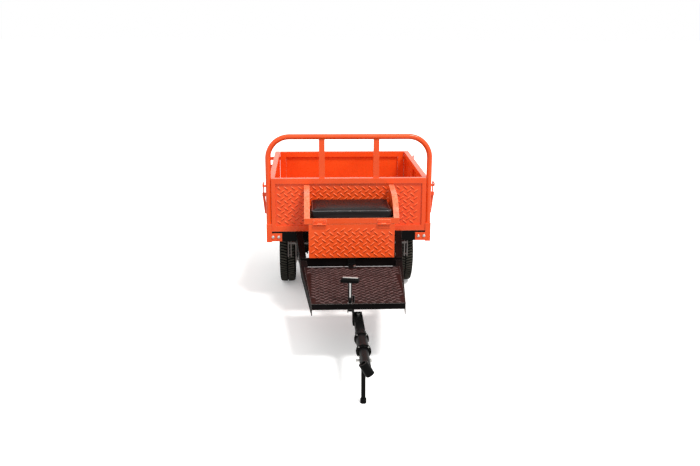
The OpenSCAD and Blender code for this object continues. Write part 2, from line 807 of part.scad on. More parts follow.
spring_gap = min([for (i = [0 : spring_steps - ring_n + 2]) for (j = [i + ring_n - 2 : min(i + ring_n + 2,
    spring_steps)])
    norm(spring_point(i) - spring_point(j))]) - 2 * spring_wire;
echo(pedal_spring_least_gap = spring_gap);

// Triangles of a closed tube whose rings follow each other in one list
function tube_faces(rings, sides) = concat(
    [for (k = [0 : rings - 2]) for (j = [0 : sides - 1]) let (a = k * sides + j,
        b = k * sides + (j + 1) % sides)
        each [[a, a + sides, b], [b, a + sides, b + sides]]],
    [for (j = [1 : sides - 2]) [0, j, j + 1]],
    [for (j = [1 : sides - 2]) let (e = (rings - 1) * sides) [e, e + j + 1, e + j]]);

module pedal_spring() {
    sides = 6;
    rings = len(spring_path);
    color(zinc) placed() polyhedron([for (k = [0 : rings - 1]) each spring_ring(k, sides)],
        tube_faces(rings, sides));
}

// Drop side, drawn on the right
module side_frame(side) {
    post_y = (side_y0 + side_y1) / 2;
    arm_z = 12;
    moving = 20;
    color(orange) placed() on_side(side) difference() {
        union() {
            difference() {
                block([side_in, side_y0, panel_low], [half_w, side_y1, wall_top]);
                for (b = [[side_y0 + rail_w, post_y - rail_w / 2], [post_y + rail_w / 2, side_y1 - rail_w]])
                    block([side_in - 1, b[0], panel_low + rail_w], [half_w + 1, b[1], wall_top - rail_w]);
            }
            for (y = side_hinges()) for (s = [-1, 1]) {
                y0 = y + s * (knuckle_l / 2 + end_gap + moving / 2) - moving / 2;
                side_knuckle(y0, y0 + moving, hinge_z - 2, hinge_z + 14, half_w - 7);
            }
            // Latch blocks with the pins that carry the levers
            for (m = [0, 1]) latch_side(m) {
                block([half_w - 2, side_y0 + latch_inset, latch_z - arm_z],
                    [latch_x + 8, side_y0 + latch_inset + latch_block, latch_z + arm_z]);
                rod_y(side_y0 + latch_inset, lever_y + lever_t, latch_x, latch_z, pin_r);
            }
        }
    }
}

// Front latch as drawn, rear latch mirrored about the middle of the side
module latch_side(rear) {
    if (rear == 1) translate([0, side_y0 + side_y1, 0]) mirror([0, 1, 0]) children();
    else children();
}

module side_sheet(side) {
    post_y = (side_y0 + side_y1) / 2;
    depth = 14;
    color(orange) placed() on_side(side)
        for (b = [[side_y0 + rail_w, post_y - rail_w / 2], [post_y + rail_w / 2, side_y1 - rail_w]])
            block([side_in + depth, b[0] + gap, panel_low + rail_w + gap],
                [side_in + depth + sheet_t, b[1] - gap, wall_top - rail_w - gap]);
}

module tailgate_frame() {
    moving = 20;
    strap_t = 6;
    color(orange) placed() {
        difference() {
            block([-gate_half, bed_l - wall_t, panel_low], [gate_half, bed_l, wall_top]);
            block([-gate_half + 45, bed_l - wall_t - 1, panel_low + rail_w],
                [gate_half - 45, bed_l + 1, wall_top - rail_w - 5]);
        }
        for (x = gate_hinges()) for (s = [-1, 1]) {
            x0 = x + s * (knuckle_l / 2 + end_gap + moving / 2) - moving / 2;
            gate_knuckle(x0, x0 + moving, hinge_z - 2, hinge_z + 14, bed_l - 7);
        }
        // Keepers that reach behind the sides' rear ends
        both_sides() block([gate_half - 40, bed_l - 1 + gap, keeper_top - 24],
            [latch_x + hook_r, bed_l + strap_t, keeper_top]);
    }
}

module tailgate_sheet() {
    depth = 12;
    color(orange) placed() block([-gate_half + 45 + gap, bed_l - wall_t + depth, panel_low + rail_w + gap],
        [gate_half - 45 - gap, bed_l - wall_t + depth + sheet_t, wall_top - rail_w - 5 - gap]);
}

module latch_lever(side, rear) {
    w = 16;
    color(zinc) placed() on_side(side) latch_side(rear) difference() {
        union() {
            translate([latch_x, lever_y, latch_z]) rotate([0, lever_tilt, 0])
                block([-w / 2, 0, -lever_l], [w / 2, lever_t - end_gap, 10]);
            rod_y(lever_y, hook_y + hook_r, latch_x, latch_z - hook_arm, 3);
        }
        rod_y(lever_y - 1, lever_y + lever_t + 1, latch_x, latch_z, pin_r + fit);
    }
}

// A hook is alike on both its sides, so it is turned or carried to its place
module hook_place(side, rear) {
    middle = (side_y0 + side_y1) / 2;
    translate([side < 0 ? -2 * latch_x : 0, 0, 0]) translate([latch_x, middle, 0]) rotate([0, 0,
        180 * rear])
        translate([-latch_x, -middle, 0]) children();
}

module latch_hook(side, rear) {
    eye_r_hook = 8;
    tip_l = 14;
    bend = 9;
    y0 = lever_y + lever_t;
    end_y = rear == 1 ? side_y0 + side_y1 - (hinge_y + hinge_r) : hoop_y - keeper_l / 2 - 2 - 2 * hook_r;
    tip_y = end_y + hook_r;
    color(zinc) placed() hook_place(side, rear) difference() {
        union() {
            rod_y(y0 + end_gap, y0 + end_gap + 2 * hook_r, latch_x, latch_z - hook_arm, eye_r_hook);
            rod_z(latch_z - hook_arm, hook_z - bend, latch_x, hook_y, hook_r);
            rod_y(rear == 0 ? tip_y + bend : end_y, hook_y - bend, latch_x, hook_z, hook_r);
            translate([latch_x, hook_y - bend, hook_z - bend]) rotate([90, 0, 90])
                rotate_extrude(angle = 90) translate([bend, 0]) circle(r = hook_r);
            if (rear == 0) {
                translate([latch_x, tip_y + bend, hook_z - bend]) rotate([90, 0, 90]) rotate([0, 0, 90])
                    rotate_extrude(angle = 90) translate([bend, 0]) circle(r = hook_r);
                rod_z(hook_z - tip_l, hook_z - bend, latch_x, tip_y, hook_r);
            }
        }
        rod_y(y0 - 1, hook_y + 20, latch_x, latch_z - hook_arm, 3 + fit);
    }
}

// Side view of an arm's top edge: a gentle slope from the wall, a round knee, then a straight run to the front
arm_knee_r = 210;
arm_slope = 5.5;
arm_drop = 52;
arm_front = [-box_d + 1, lid_z + seat_rail];
arm_rear = [-2, box_top + arm_rise];
function arm_tangent() = arm_knee_r * tan((arm_drop - arm_slope) / 2);
// The corner where the two straight runs would meet
arm_corner_y = (arm_front[1] - arm_rear[1] + tan(arm_slope) * arm_rear[0] - tan(arm_drop) * arm_front[0])
    / (tan(arm_slope) - tan(arm_drop));
arm_corner = [arm_corner_y, arm_rear[1] + tan(arm_slope) * (arm_corner_y - arm_rear[0])];
arm_knee = arm_corner + [arm_tangent() * cos(arm_slope), arm_tangent() * sin(arm_slope)]
    + arm_knee_r * [sin(arm_slope), -cos(arm_slope)];
function arm_edge(inset) = concat([arm_rear + [0, -inset / cos(arm_slope)]],
    [for (k = [0 : 6]) let (a = arm_slope + (arm_drop - arm_slope) * k / 6)
        arm_knee + (arm_knee_r - inset) * [-sin(a), cos(a)]],
    [arm_front + [0, -inset / cos(arm_drop)]]);

module seat_frame() {
    shape = arm_edge(0);
    under = arm_edge(seat_t);
    front_y = -box_d;
    rear_y = arm_rear[0];
    shelf = 30;
    color(orange) placed() {
        // Front angle and the shelf that carries the board
        block([-seat_half, front_y, lid_z], [seat_half, front_y + seat_t, lid_z + seat_rail]);
        block([-seat_half, front_y, lid_z], [seat_half, front_y + shelf, lid_z + seat_t]);
        block([-seat_half, rear_y - shelf, lid_z], [seat_half, rear_y, lid_z + seat_t]);
        both_sides() {
            // Upright flange and top strip of an arm
            translate([arm_in, 0, 0]) rotate([90, 0, 90]) linear_extrude(seat_t)
                polygon(concat(shape, [[front_y, lid_z + seat_rail], [front_y, lid_z], [rear_y, lid_z]]));
            translate([arm_in, 0, 0]) rotate([90, 0, 90]) linear_extrude(arm_w)
                polygon(concat(shape, [for (k = [len(under) - 1 : -1 : 0]) under[k]]));
        }
        for (x = [-seat_hinge_x, seat_hinge_x]) hinge_leaf(x, lid_z, lid_z + 26, hinge_middle(),
            hinge_outer(), seat_knuckle_r);
    }
}

module seat_board() {
    color("BurlyWood") placed() block([-arm_in + 1, -box_d + seat_t + 2, board_z],
        [arm_in - 1, arm_rear[0] - 4, board_z + board_t]);
}

// Cushion: rings of a rounded rectangle whose sides draw in, closed by a crown
cushion_y0 = -box_d + seat_t + 6;
cushion_y1 = arm_rear[0] - 8;
corner_n = 4;
edge_n = 6;
corner_r = 26;
function cushion_ring(inset, pinch, z) = let (a = cushion_w / 2 - inset,
    b = (cushion_y1 - cushion_y0) / 2 - inset,
        m = (cushion_y0 + cushion_y1) / 2, r = max(corner_r - inset / 2, 6),
        corners = [[a - r, b - r], [r - a, b - r], [r - a, r - b], [a - r, r - b]])
    [for (q = [0 : 3]) each concat(
        [for (k = [0 : corner_n - 1]) let (t = 90 * q + 90 * k / (corner_n - 1))
            [corners[q][0] + r * cos(t), m + corners[q][1] + r * sin(t), z]],
        [for (k = [1 : edge_n - 1]) let (f = k / edge_n, n = (q + 1) % 4, t = 90 * n,
                p = (1 - f) * corners[q] + f * corners[n] + (r - pinch * sin(180 * f)) * [cos(t), sin(t)])
            [p[0], m + p[1], z]])];
cushion_top = cushion_z + cushion_h;
crown_run = 0.41 * (cushion_y1 - cushion_y0);
cushion_rings = concat(
    [cushion_ring(9, 2, cushion_z), cushion_ring(3, 3, cushion_z + 6),
        cushion_ring(1, 5, cushion_z + 0.4 * cushion_h),
        cushion_ring(0, 4, cushion_top - 12), cushion_ring(1, 3, cushion_top - 5),
            cushion_ring(7, 3, cushion_top)],
    [for (s = [0.15, 0.3, 0.5, 0.7, 0.85]) cushion_ring(7 + s * crown_run, 3 * (1 - s),
        cushion_top + crown_h * sqrt(1 - (1 - s) * (1 - s)))]);

module seat_cushion() {
    sides = len(cushion_rings[0]);
    rings = len(cushion_rings);
    m = (cushion_y0 + cushion_y1) / 2;
    points = concat([for (r = cushion_rings) each r], [[0, m, cushion_z], [0, m, cushion_top + crown_h]]);
    low = rings * sides;
    faces = concat(
        [for (k = [0 : rings - 2]) for (j = [0 : sides - 1]) let (a = k * sides + j,
            b = k * sides + (j + 1) % sides)
            each [[a, a + sides, b], [b, a + sides, b + sides]]],
        [for (j = [0 : sides - 1]) [low, j, (j + 1) % sides]],
        [for (j = [0 : sides - 1]) let (e = (rings - 1) * sides) [low + 1, e + (j + 1) % sides, e + j]]);
    color("#202022") placed() polyhedron(points, faces);
}

pad_w = 90;
pad_d = 42;
pad_t = 16;
pad_turn = 12;
pad_tilt = 4;

module brake_pedal() {
    eye_w = pedal_eye_w;
    top = foot_z + pedal_h;
    color(black) placed() difference() {
        union() {
            rod_z(pivot_z, top, -pedal_x, stem_y, stem_d / 2);
            rod_z(foot_z + 14, top, -pedal_x, stem_y, stem_sleeve_d / 2);
            rod_x(-pedal_x - eye_w / 2, -pedal_x + eye_w / 2, stem_y, pivot_z, 11);
            translate([-pedal_x, stem_y, top]) rotate([0, 0, -pad_turn]) rotate([pad_tilt, 0, 0])
                block([-pad_w / 2, -pad_d / 2, -pad_t / 2], [pad_w / 2, pad_d / 2, pad_t / 2]);
            // Tab that takes the return spring
            block([-pedal_x - 3, stem_y, spring_z - 7], [-pedal_x + 3, spring_y0 - spring_wire - 0.4,
                spring_z + 7]);
        }
        rod_x(-pedal_x - eye_w, -pedal_x + eye_w, stem_y, pivot_z, pedal_pin_r + fit);
        // Room for the pull rod's end
        block([-pedal_x - stem_d, stem_y + 1.5, rod_z - brake_rod_r - 4],
            [-pedal_x + stem_d, stem_y + stem_d, rod_z + brake_rod_r + 2]);
    }
}

module brake_pull_rod() {
    end_y = shaft_y - 11 - 0.8;
    color(zinc) placed() {
        rod_y(stem_y + 3.2, end_y, -pedal_x, rod_z, brake_rod_r);
    }
}

module brake_cross_shaft() {
    plate = 6;
    half_gap = brake_rod_r + 1;
    lever_w = 24;
    reach = outer_fork_x + half_gap + plate;
    outer_l = 95;
    pull_l = shaft_z - rod_z + 12;
    color(zinc) placed() {
        rod_x(-reach, reach, shaft_y, shaft_z, shaft_r);
        both_sides() for (s = [-1, 1]) {
            x = fork_x + s * (half_gap + plate / 2);
            difference() {
                block([x - plate / 2, shaft_y - lever_w / 2, brake_z - 14],
                    [x + plate / 2, shaft_y + lever_w / 2, shaft_z]);
                for (k = [0, 1, 2]) rod_x(x - plate, x + plate, shaft_y, brake_z + 26 * k, 4.5);
            }
        }
        // Outer forks in front of the tyres, with the pin for a hand brake's cable
        both_sides() {
            for (s = [-1, 1]) {
                x = outer_fork_x + s * (half_gap + plate / 2);
                block([x - plate / 2, shaft_y - lever_w / 2, shaft_z - outer_l],
                    [x + plate / 2, shaft_y + lever_w / 2, shaft_z + shaft_r]);
            }
            rod_x(outer_fork_x - half_gap - plate - 3, outer_fork_x + half_gap + plate + 3, shaft_y,
                shaft_z - outer_l + 14, 5);
        }
        // Middle lever, worked by the pull rod
        block([-pedal_x - plate / 2, shaft_y - 11, shaft_z - pull_l],
            [-pedal_x + plate / 2, shaft_y + 11, shaft_z]);
    }
}

module brake_rod(side) {
    eye_w = 2 * brake_rod_r + 1;
    color(zinc) placed() on_side(side) {
        rod_y(shaft_y, cam_y + 5, fork_x, brake_z, brake_rod_r - 0.5);
        rod_x(fork_x - eye_w / 2, fork_x + eye_w / 2, shaft_y, brake_z, 8);
        rod_x(cam_lever_x - 1, fork_x, cam_y, brake_z, 4);
    }
}

module cam_lever(side) {
    t = 5;
    w = 9;
    slot = 9;
    color(zinc) placed() on_side(side) difference() {
        union() {
            block([cam_lever_x, cam_y - w, brake_z - 14], [cam_lever_x + t, cam_y + w, cam_z]);
            rod_x(cam_lever_x, cam_lever_x + t, cam_y, cam_z, w);
            rod_x(cam_lever_x, drum_in - 0.7, cam_y, cam_z, cam_r);
        }
        block([cam_lever_x - 1, cam_y - 4.8, brake_z - slot],
            [cam_lever_x + t + 1, cam_y + 4.8, brake_z + slot]);
    }
}

// Pieces of a wheel are turned about the axle; the section is given as [along the axle, radius]
module turned(points) {
    translate([0, axle_y, axle_z]) rotate([0, 90, 0]) rotate_extrude() polygon([for (p = points) [p[1],
        p[0]]]);
}

module tyre(side) {
    r = tyre_d / 2;
    w = tyre_w / 2;
    bead = rim_d / 2 + gap;
    seat = 33;
    groove = 5;
    deep = 8;
    half = [[groove, r], [w - 12, r - 1], [w - 5, r - 8], [w - 2, r - 26], [w, r - 52],
        [w - 3, bead + 34], [seat + 4, bead + 12]];
    inner = [[seat - 8, bead + 12], [w - 14, bead + 34], [w - 12, r - 52], [w - 16, r - 24],
        [w - 22, r - 18]];
    color("#222222") placed() on_side(side) translate([wheel_x, 0, 0]) turned(concat(
        [[seat - 10, bead], [seat + 1, bead], [seat + 4, bead + 4]],
            [for (k = [len(half) - 1 : -1 : 0]) half[k]],
        [[groove, r - deep], [-groove, r - deep]], [for (p = half) [-p[0], p[1]]],
        [[-seat - 4, bead + 4], [-seat - 1, bead], [10 - seat, bead]], [for (p = inner) [-p[0], p[1]]],
        [for (k = [len(inner) - 1 : -1 : 0]) inner[k]]));
}

module rim(side) {
    seat = rim_d / 2;
    half = 38;
    t = 4;
    lip = 12;
    disc_t = 3;
    disc = flange_x - wheel_x + 8 + gap;
    color("Gainsboro") placed() on_side(side) difference() {
        translate([wheel_x, 0, 0]) turned([[-half - t, seat + lip], [-half, seat + lip], [-half, seat],
            [half, seat],
            [half, seat + lip], [half + t, seat + lip], [half + t, seat - t], [disc + disc_t, seat - t],
            [disc + disc_t, 31], [disc, 31], [disc, seat - t], [-half - t, seat - t]]);
        for (k = [0 : stud_n - 1]) stud_hole(k, stud_r + 0.5);
        for (k = [0 : 7]) translate([flange_x - 20, axle_y, axle_z]) rotate([45 * k + 22.5, 0, 0])
            translate([0, 92, 0]) rotate([0, 90, 0]) cylinder(r = 9, h = 60);
    }
}

module stud_hole(k, r) {
    translate([flange_x - 20, axle_y, axle_z]) rotate([360 * k / stud_n + 45, 0, 0]) translate([0,
        stud_pcd / 2, 0])
        rotate([0, 90, 0]) cylinder(r = r, h = 60);
}

module hub_drum(side) {
    face = flange_x + 8;
    nose = bearing_out + bearing_w + 14;
    color("DimGray") placed() on_side(side) union() {
        turned([[bearing_in - 1, bearing_r + fit / 2], [bearing_in - 1, 32], [face - 8, 32],
            [face - 8, 80], [drum_in, 80],
            [drum_in, 88], [face, 88], [face, 30.8], [nose, 30.8], [nose + 5, 24], [nose + 5, 0],
                [nose + 2, 0],
            [nose + 2, 22], [nose - 2, 26.6], [bearing_out + bearing_w + gap, 26.6],
            [bearing_out + bearing_w + gap, bearing_r + fit / 2], [bearing_out - gap, bearing_r + fit / 2],
            [bearing_out - gap, 21], [bearing_in + bearing_w + gap, 21],
                [bearing_in + bearing_w + gap, bearing_r + fit / 2]]);
        for (k = [0 : stud_n - 1]) translate([face - 2, axle_y, axle_z]) rotate([360 * k / stud_n + 45, 0,
            0])
            translate([0, stud_pcd / 2, 0]) rotate([0, 90, 0]) cylinder(r = stud_r, h = 22);
    }
}

module wheel_bearings(side) {
    color("Silver") placed() on_side(side) for (x = [bearing_in, bearing_out])
        turned([[x, spindle_r + fit], [x + bearing_w, spindle_r + fit],
            [x + bearing_w, bearing_r - fit / 2], [x, bearing_r - fit / 2]]);
}

module wheel_nuts(side) {
    seat = flange_x + 8 + gap + 3 + gap;
    color(zinc) placed() on_side(side) for (k = [0 : stud_n - 1]) difference() {
        translate([seat, axle_y, axle_z]) rotate([360 * k / stud_n + 45, 0, 0]) translate([0,
            stud_pcd / 2, 0])
            rotate([0, 90, 0]) cylinder(r = 11, h = 10, $fn = 6);
        stud_hole(k, stud_r + fit);
    }
}

module hitch_head() {
    sleeve_r = 23;
    sleeve_y0 = -hitch_reach + eye_d / 2 - 6;
    tail_y = housing_y1 - 10 - nut_chamber;
    nut_w = 16;
    tail_l = 32;
    color(black) placed() difference() {
        union() {
            rod_y(sleeve_y0, housing_y0 - end_gap, 0, hitch_z, sleeve_r);
            rod_y(sleeve_y0, tail_y + 2, 0, hitch_z, swivel_r);
            rod_y(tail_y, tail_y + tail_l, 0, hitch_z, 14);
            // Retaining nut on the shaft's end
            translate([0, tail_y + 4, hitch_z]) rotate([-90, 0, 0]) cylinder(r = 23, h = nut_w, $fn = 6);
            translate([0, -hitch_reach, hitch_z]) rotate([0, -eye_lean, 0]) translate([0, 0, -eye_l / 2])
                cylinder(r = eye_d / 2, h = eye_l);
        }
        translate([0, -hitch_reach, hitch_z]) rotate([0, -eye_lean, 0]) translate([0, 0, -eye_l])
            cylinder(r = eye_bore / 2, h = 2 * eye_l);
    }
}

module prop_leg() {
    eye_w = leg_d + 3;
    color(black) placed() difference() {
        union() {
            translate([0, leg_pivot_y, leg_pivot_z]) rotate([-leg_lean, 0, 0])
                translate([0, 0, leg_foot_h - 6 - leg_pivot_z]) cylinder(r = leg_d / 2,
                    h = leg_pivot_z - leg_foot_h + 6);
            rod_x(-eye_w / 2, eye_w / 2, leg_pivot_y, leg_pivot_z, 11.5);
        }
        rod_x(-eye_w, eye_w, leg_pivot_y, leg_pivot_z, leg_pin_r + fit);
        block([-40, leg_foot_y - 40, 0], [40, leg_foot_y + 40, leg_foot_h + gap]);
    }
}

module leg_foot() {
    color(black) placed() rod_z(0, leg_foot_h, 0, leg_foot_y, leg_foot_d / 2);
}

deck_frame();
bed_floor();
front_wall_frame();
front_wall_panel();
guard_hoop();
corner_plates();
frame_bolts();
toolbox_body();
toolbox_front();
seat_hinge_leaves();
centre_bracket();
frame_rails();
footboard();
drawbar_tube();
drawbar_bracket();
swivel_housing();
leg_pivot_bolt();
axle_beam();
leaf_springs();
spring_hardware();
brake_backplates();
hinge_pins();
pedal_spring();
side_frame(-1);  // side_frame_left
side_frame(1);  // side_frame_right
side_sheet(-1);  // side_sheet_left
side_sheet(1);  // side_sheet_right
tailgate_frame();
tailgate_sheet();
latch_lever(-1, 0);  // latch_lever_front_left
latch_lever(1, 0);  // latch_lever_front_right
latch_lever(-1, 1);  // latch_lever_rear_left
latch_lever(1, 1);  // latch_lever_rear_right
latch_hook(-1, 0);  // latch_hook_front_left
latch_hook(1, 0);  // latch_hook_front_right
latch_hook(-1, 1);  // latch_hook_rear_left
latch_hook(1, 1);  // latch_hook_rear_right
seat_frame();
seat_board();
seat_cushion();
brake_pedal();
brake_pull_rod();
brake_cross_shaft();
brake_rod(-1);  // brake_rod_left
brake_rod(1);  // brake_rod_right
cam_lever(-1);  // cam_lever_left
cam_lever(1);  // cam_lever_right
tyre(-1);  // tyre_left
tyre(1);  // tyre_right
rim(-1);  // rim_left
rim(1);  // rim_right
hub_drum(-1);  // hub_drum_left
hub_drum(1);  // hub_drum_right
wheel_bearings(-1);  // wheel_bearings_left
wheel_bearings(1);  // wheel_bearings_right
wheel_nuts(-1);  // wheel_nuts_left
wheel_nuts(1);  // wheel_nuts_right
hitch_head();
prop_leg();
leg_foot();
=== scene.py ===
import json
import math

import bmesh
import bpy
import numpy as np
from mathutils import Matrix, Vector


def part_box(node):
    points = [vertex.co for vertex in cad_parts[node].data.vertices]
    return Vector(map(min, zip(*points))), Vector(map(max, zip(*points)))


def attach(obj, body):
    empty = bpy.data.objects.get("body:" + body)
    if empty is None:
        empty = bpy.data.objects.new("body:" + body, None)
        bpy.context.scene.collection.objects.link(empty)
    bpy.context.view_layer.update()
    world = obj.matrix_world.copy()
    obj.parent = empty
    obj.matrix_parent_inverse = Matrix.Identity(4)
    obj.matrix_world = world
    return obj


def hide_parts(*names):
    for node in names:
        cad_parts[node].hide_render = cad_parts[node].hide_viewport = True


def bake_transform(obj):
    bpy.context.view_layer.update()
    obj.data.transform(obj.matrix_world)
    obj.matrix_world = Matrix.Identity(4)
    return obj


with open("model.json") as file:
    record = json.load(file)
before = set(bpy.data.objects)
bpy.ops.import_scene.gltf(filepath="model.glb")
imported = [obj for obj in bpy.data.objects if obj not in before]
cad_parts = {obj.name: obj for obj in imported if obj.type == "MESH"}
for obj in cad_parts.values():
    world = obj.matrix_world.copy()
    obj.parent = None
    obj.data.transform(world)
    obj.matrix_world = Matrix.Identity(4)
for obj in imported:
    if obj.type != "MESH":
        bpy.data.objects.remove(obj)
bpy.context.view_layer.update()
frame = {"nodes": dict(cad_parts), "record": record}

nodes = frame["nodes"]
scene = bpy.context.scene
X, Y, Z = Vector((1, 0, 0)), Vector((0, 1, 0)), Vector((0, 0, 1))

# The part is drawn with Y starting at the front face of the front wall
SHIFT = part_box("front_wall_frame")[0].y

# Places on the drawing, in millimetres
WHEEL_X, AXLE_Y, AXLE_Z = 402, 480, 235
PEDAL_X, PEDAL_Y, PAD_Z = -44, -1000, 480
BOARD_FRONT, BOARD_BACK, BOARD_TOP = -1027, -389, 360
BOARD_HALF_FRONT, BOARD_HALF_BACK = 247, 285
SPRING_FRONT, SPRING_LENGTH, SPRING_Z = -988, 84, 348
SCREW_Y, SCREW_LOW, SCREW_HIGH = -339.5, 594, 625


def at(x, y, z):
    """A point of the drawing, in millimetres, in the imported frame."""
    return Vector((x / 1000, y / 1000 + SHIFT, z / 1000))


# Nodes of materials

# Most of a noise lies between these
NOISE_LOW, NOISE_HIGH = 0.3, 0.7


def material(name):
    made = bpy.data.materials.new(name)
    made.use_nodes = True
    tree = made.node_tree
    tree.nodes.clear()
    out = tree.nodes.new("ShaderNodeOutputMaterial")
    shader = tree.nodes.new("ShaderNodeBsdfPrincipled")
    tree.links.new(shader.outputs["BSDF"], out.inputs["Surface"])
    return made, tree, shader


def place(tree):
    return tree.nodes.new("ShaderNodeTexCoord").outputs["Object"]


def true_normal(tree):
    return tree.nodes.new("ShaderNodeNewGeometry").outputs["Normal"]


def split(tree, vector):
    """The X, Y and Z of a vector."""
    made = tree.nodes.new("ShaderNodeSeparateXYZ")
    tree.links.new(vector, made.inputs["Vector"])
    return made.outputs


def noise(tree, scale, detail=4.0, rough=0.55, stretch=None):
    source = place(tree)
    made = tree.nodes.new("ShaderNodeTexNoise")
    made.inputs["Scale"].default_value = scale
    made.inputs["Detail"].default_value = detail
    made.inputs["Roughness"].default_value = rough
    if stretch:
        mapping = tree.nodes.new("ShaderNodeMapping")
        mapping.inputs["Scale"].default_value = stretch
        tree.links.new(source, mapping.inputs["Vector"])
        source = mapping.outputs["Vector"]
    tree.links.new(source, made.inputs["Vector"])
    return made.outputs["Fac"]


def ramp(tree, source, stops):
    made = tree.nodes.new("ShaderNodeValToRGB")
    ends = made.color_ramp.elements
    while len(ends) < len(stops):
        ends.new(0.5)
    for end, (position, colour) in zip(ends, stops):
        end.position = position
        end.color = (*colour, 1)
    tree.links.new(source, made.inputs["Fac"])
    return made.outputs["Color"]


def graded(tree, source, start, end, low=0.0, high=1.0):
    """A number that goes from low to high as source goes from start to end."""
    made = tree.nodes.new("ShaderNodeMapRange")
    made.inputs["From Min"].default_value = start
    made.inputs["From Max"].default_value = end
    made.inputs["To Min"].default_value = low
    made.inputs["To Max"].default_value = high
    tree.links.new(source, made.inputs["Value"])
    return made.outputs["Result"]


def span(tree, source, low, high):
    """A noise spread from low to high."""
    return graded(tree, source, NOISE_LOW, NOISE_HIGH, low, high)


def mixed(tree, factor, first, second):
    """A colour between first, a socket, and second, a socket or a plain colour."""
    made = tree.nodes.new("ShaderNodeMix")
    made.data_type = "RGBA"
    tree.links.new(factor, made.inputs["Factor"])
    tree.links.new(first, made.inputs["A"])
    if isinstance(second, tuple):
        made.inputs["B"].default_value = (*second, 1)
    else:
        tree.links.new(second, made.inputs["B"])
    return made.outputs["Result"]


def combined(tree, operation, first, second):
    made = tree.nodes.new("ShaderNodeMath")
    made.operation = operation
    tree.links.new(first, made.inputs[0])
    tree.links.new(second, made.inputs[1])
    return made.outputs["Value"]


def product(tree, first, second):
    return combined(tree, "MULTIPLY", first, second)


def rounded_normal(tree, radius):
    made = tree.nodes.new("ShaderNodeBevel")
    made.samples = 4
    made.inputs["Radius"].default_value = radius
    return made.outputs["Normal"]


def upward(tree):
    """1 on faces that look up, where dust settles and where some coats take a painted top highlight,
    and 0 on upright faces.
    """
    return graded(tree, split(tree, true_normal(tree))["Z"], 0.3, 0.7)


def edges(tree, radius, most):
    """How near the surface is to a sharp edge, from 0 to most, broken up a little, for rubbed edges
    and painted edge highlights.
    """
    turn = tree.nodes.new("ShaderNodeVectorMath")
    turn.operation = "DOT_PRODUCT"
    tree.links.new(rounded_normal(tree, radius), turn.inputs[0])
    tree.links.new(true_normal(tree), turn.inputs[1])
    near = graded(tree, turn.outputs["Value"], 0.985, 0.80, 0.0, most)
    return product(tree, near, span(tree, noise(tree, 35, 6, 0.65), 0.55, 1.0))


def relief(tree, shader, height, strength, distance, edge=0.0):
    """A bump of the given height over edges that are rounded by edge metres."""
    bump = tree.nodes.new("ShaderNodeBump")
    bump.inputs["Strength"].default_value = strength
    bump.inputs["Distance"].default_value = distance
    tree.links.new(height, bump.inputs["Height"])
    if edge:
        tree.links.new(rounded_normal(tree, edge), bump.inputs["Normal"])
    tree.links.new(bump.outputs["Normal"], shader.inputs["Normal"])


# Painted metal and moulded rubber

def paint(name, dark, light, rough, peel, edge=0.0, coat=0.0, metal=0.0, shine=0.5, dust_and_sheen=None,
        edge_wear_and_highlight=None):
    """Powder coat: colour drifts a little, the skin is finely rippled and the edges are soft.

    dust_and_sheen is a colour put in specks on faces that look up: dust, and on some coats painted
    highlights and reflections on the tops.
    edge_wear_and_highlight is a colour, a radius and a share for edges: rubbed paint, and on some
    coats a painted edge highlight."""
    made, tree, shader = material(name)
    colour = ramp(tree, noise(tree, 6, 5), [(0.32, dark), (0.68, light)])
    # Specks on faces that look up: dust, and on some coats a painted highlight or reflection of the
    # tops
    if dust_and_sheen:
        specks = span(tree, noise(tree, 60, 8, 0.7), 0.0, 0.4)
        colour = mixed(tree, product(tree, specks, upward(tree)), colour, dust_and_sheen)
    if edge_wear_and_highlight:
        # Edge colour: rubbed paint, and on some coats a painted edge highlight
        rubbed, reach, share = edge_wear_and_highlight
        colour = mixed(tree, edges(tree, reach, share), colour, rubbed)
    tree.links.new(colour, shader.inputs["Base Color"])
    dulled = span(tree, noise(tree, 28, 6), rough - 0.04, rough + 0.06)
    tree.links.new(dulled, shader.inputs["Roughness"])
    shader.inputs["Metallic"].default_value = metal
    shader.inputs["Specular IOR Level"].default_value = shine
    shader.inputs["Coat Weight"].default_value = coat
    shader.inputs["Coat Roughness"].default_value = 0.12
    relief(tree, shader, noise(tree, 420, 2), peel, 0.0004, edge)
    return made


ORANGE = (0.80, 0.072, 0.008), (0.87, 0.090, 0.011)
ORANGE_SHINE = 0.36
# Paler orange on the edges of orange coats: a painted edge highlight, with rubbed paint
ORANGE_EDGE_HIGHLIGHT = ((0.93, 0.30, 0.13), 0.0026, 0.75)

orange = paint("orange powder coat", *ORANGE,
    rough=0.28, peel=0.08, edge=0.0018, coat=0.1, shine=ORANGE_SHINE, edge_wear_and_highlight=ORANGE_EDGE_HIGHLIGHT)
# Seat frame: pale peach specks on faces that look up are a painted highlight of the tops, and the
# pale edges a painted edge highlight
seat_orange = paint("orange of the seat frame", (0.78, 0.072, 0.008), (0.85, 0.090, 0.011),
    rough=0.28, peel=0.08, edge=0.0018, coat=0.1, shine=ORANGE_SHINE, dust_and_sheen=(0.92, 0.55, 0.36),
    edge_wear_and_highlight=((0.93, 0.42, 0.22), 0.0032, 0.9))
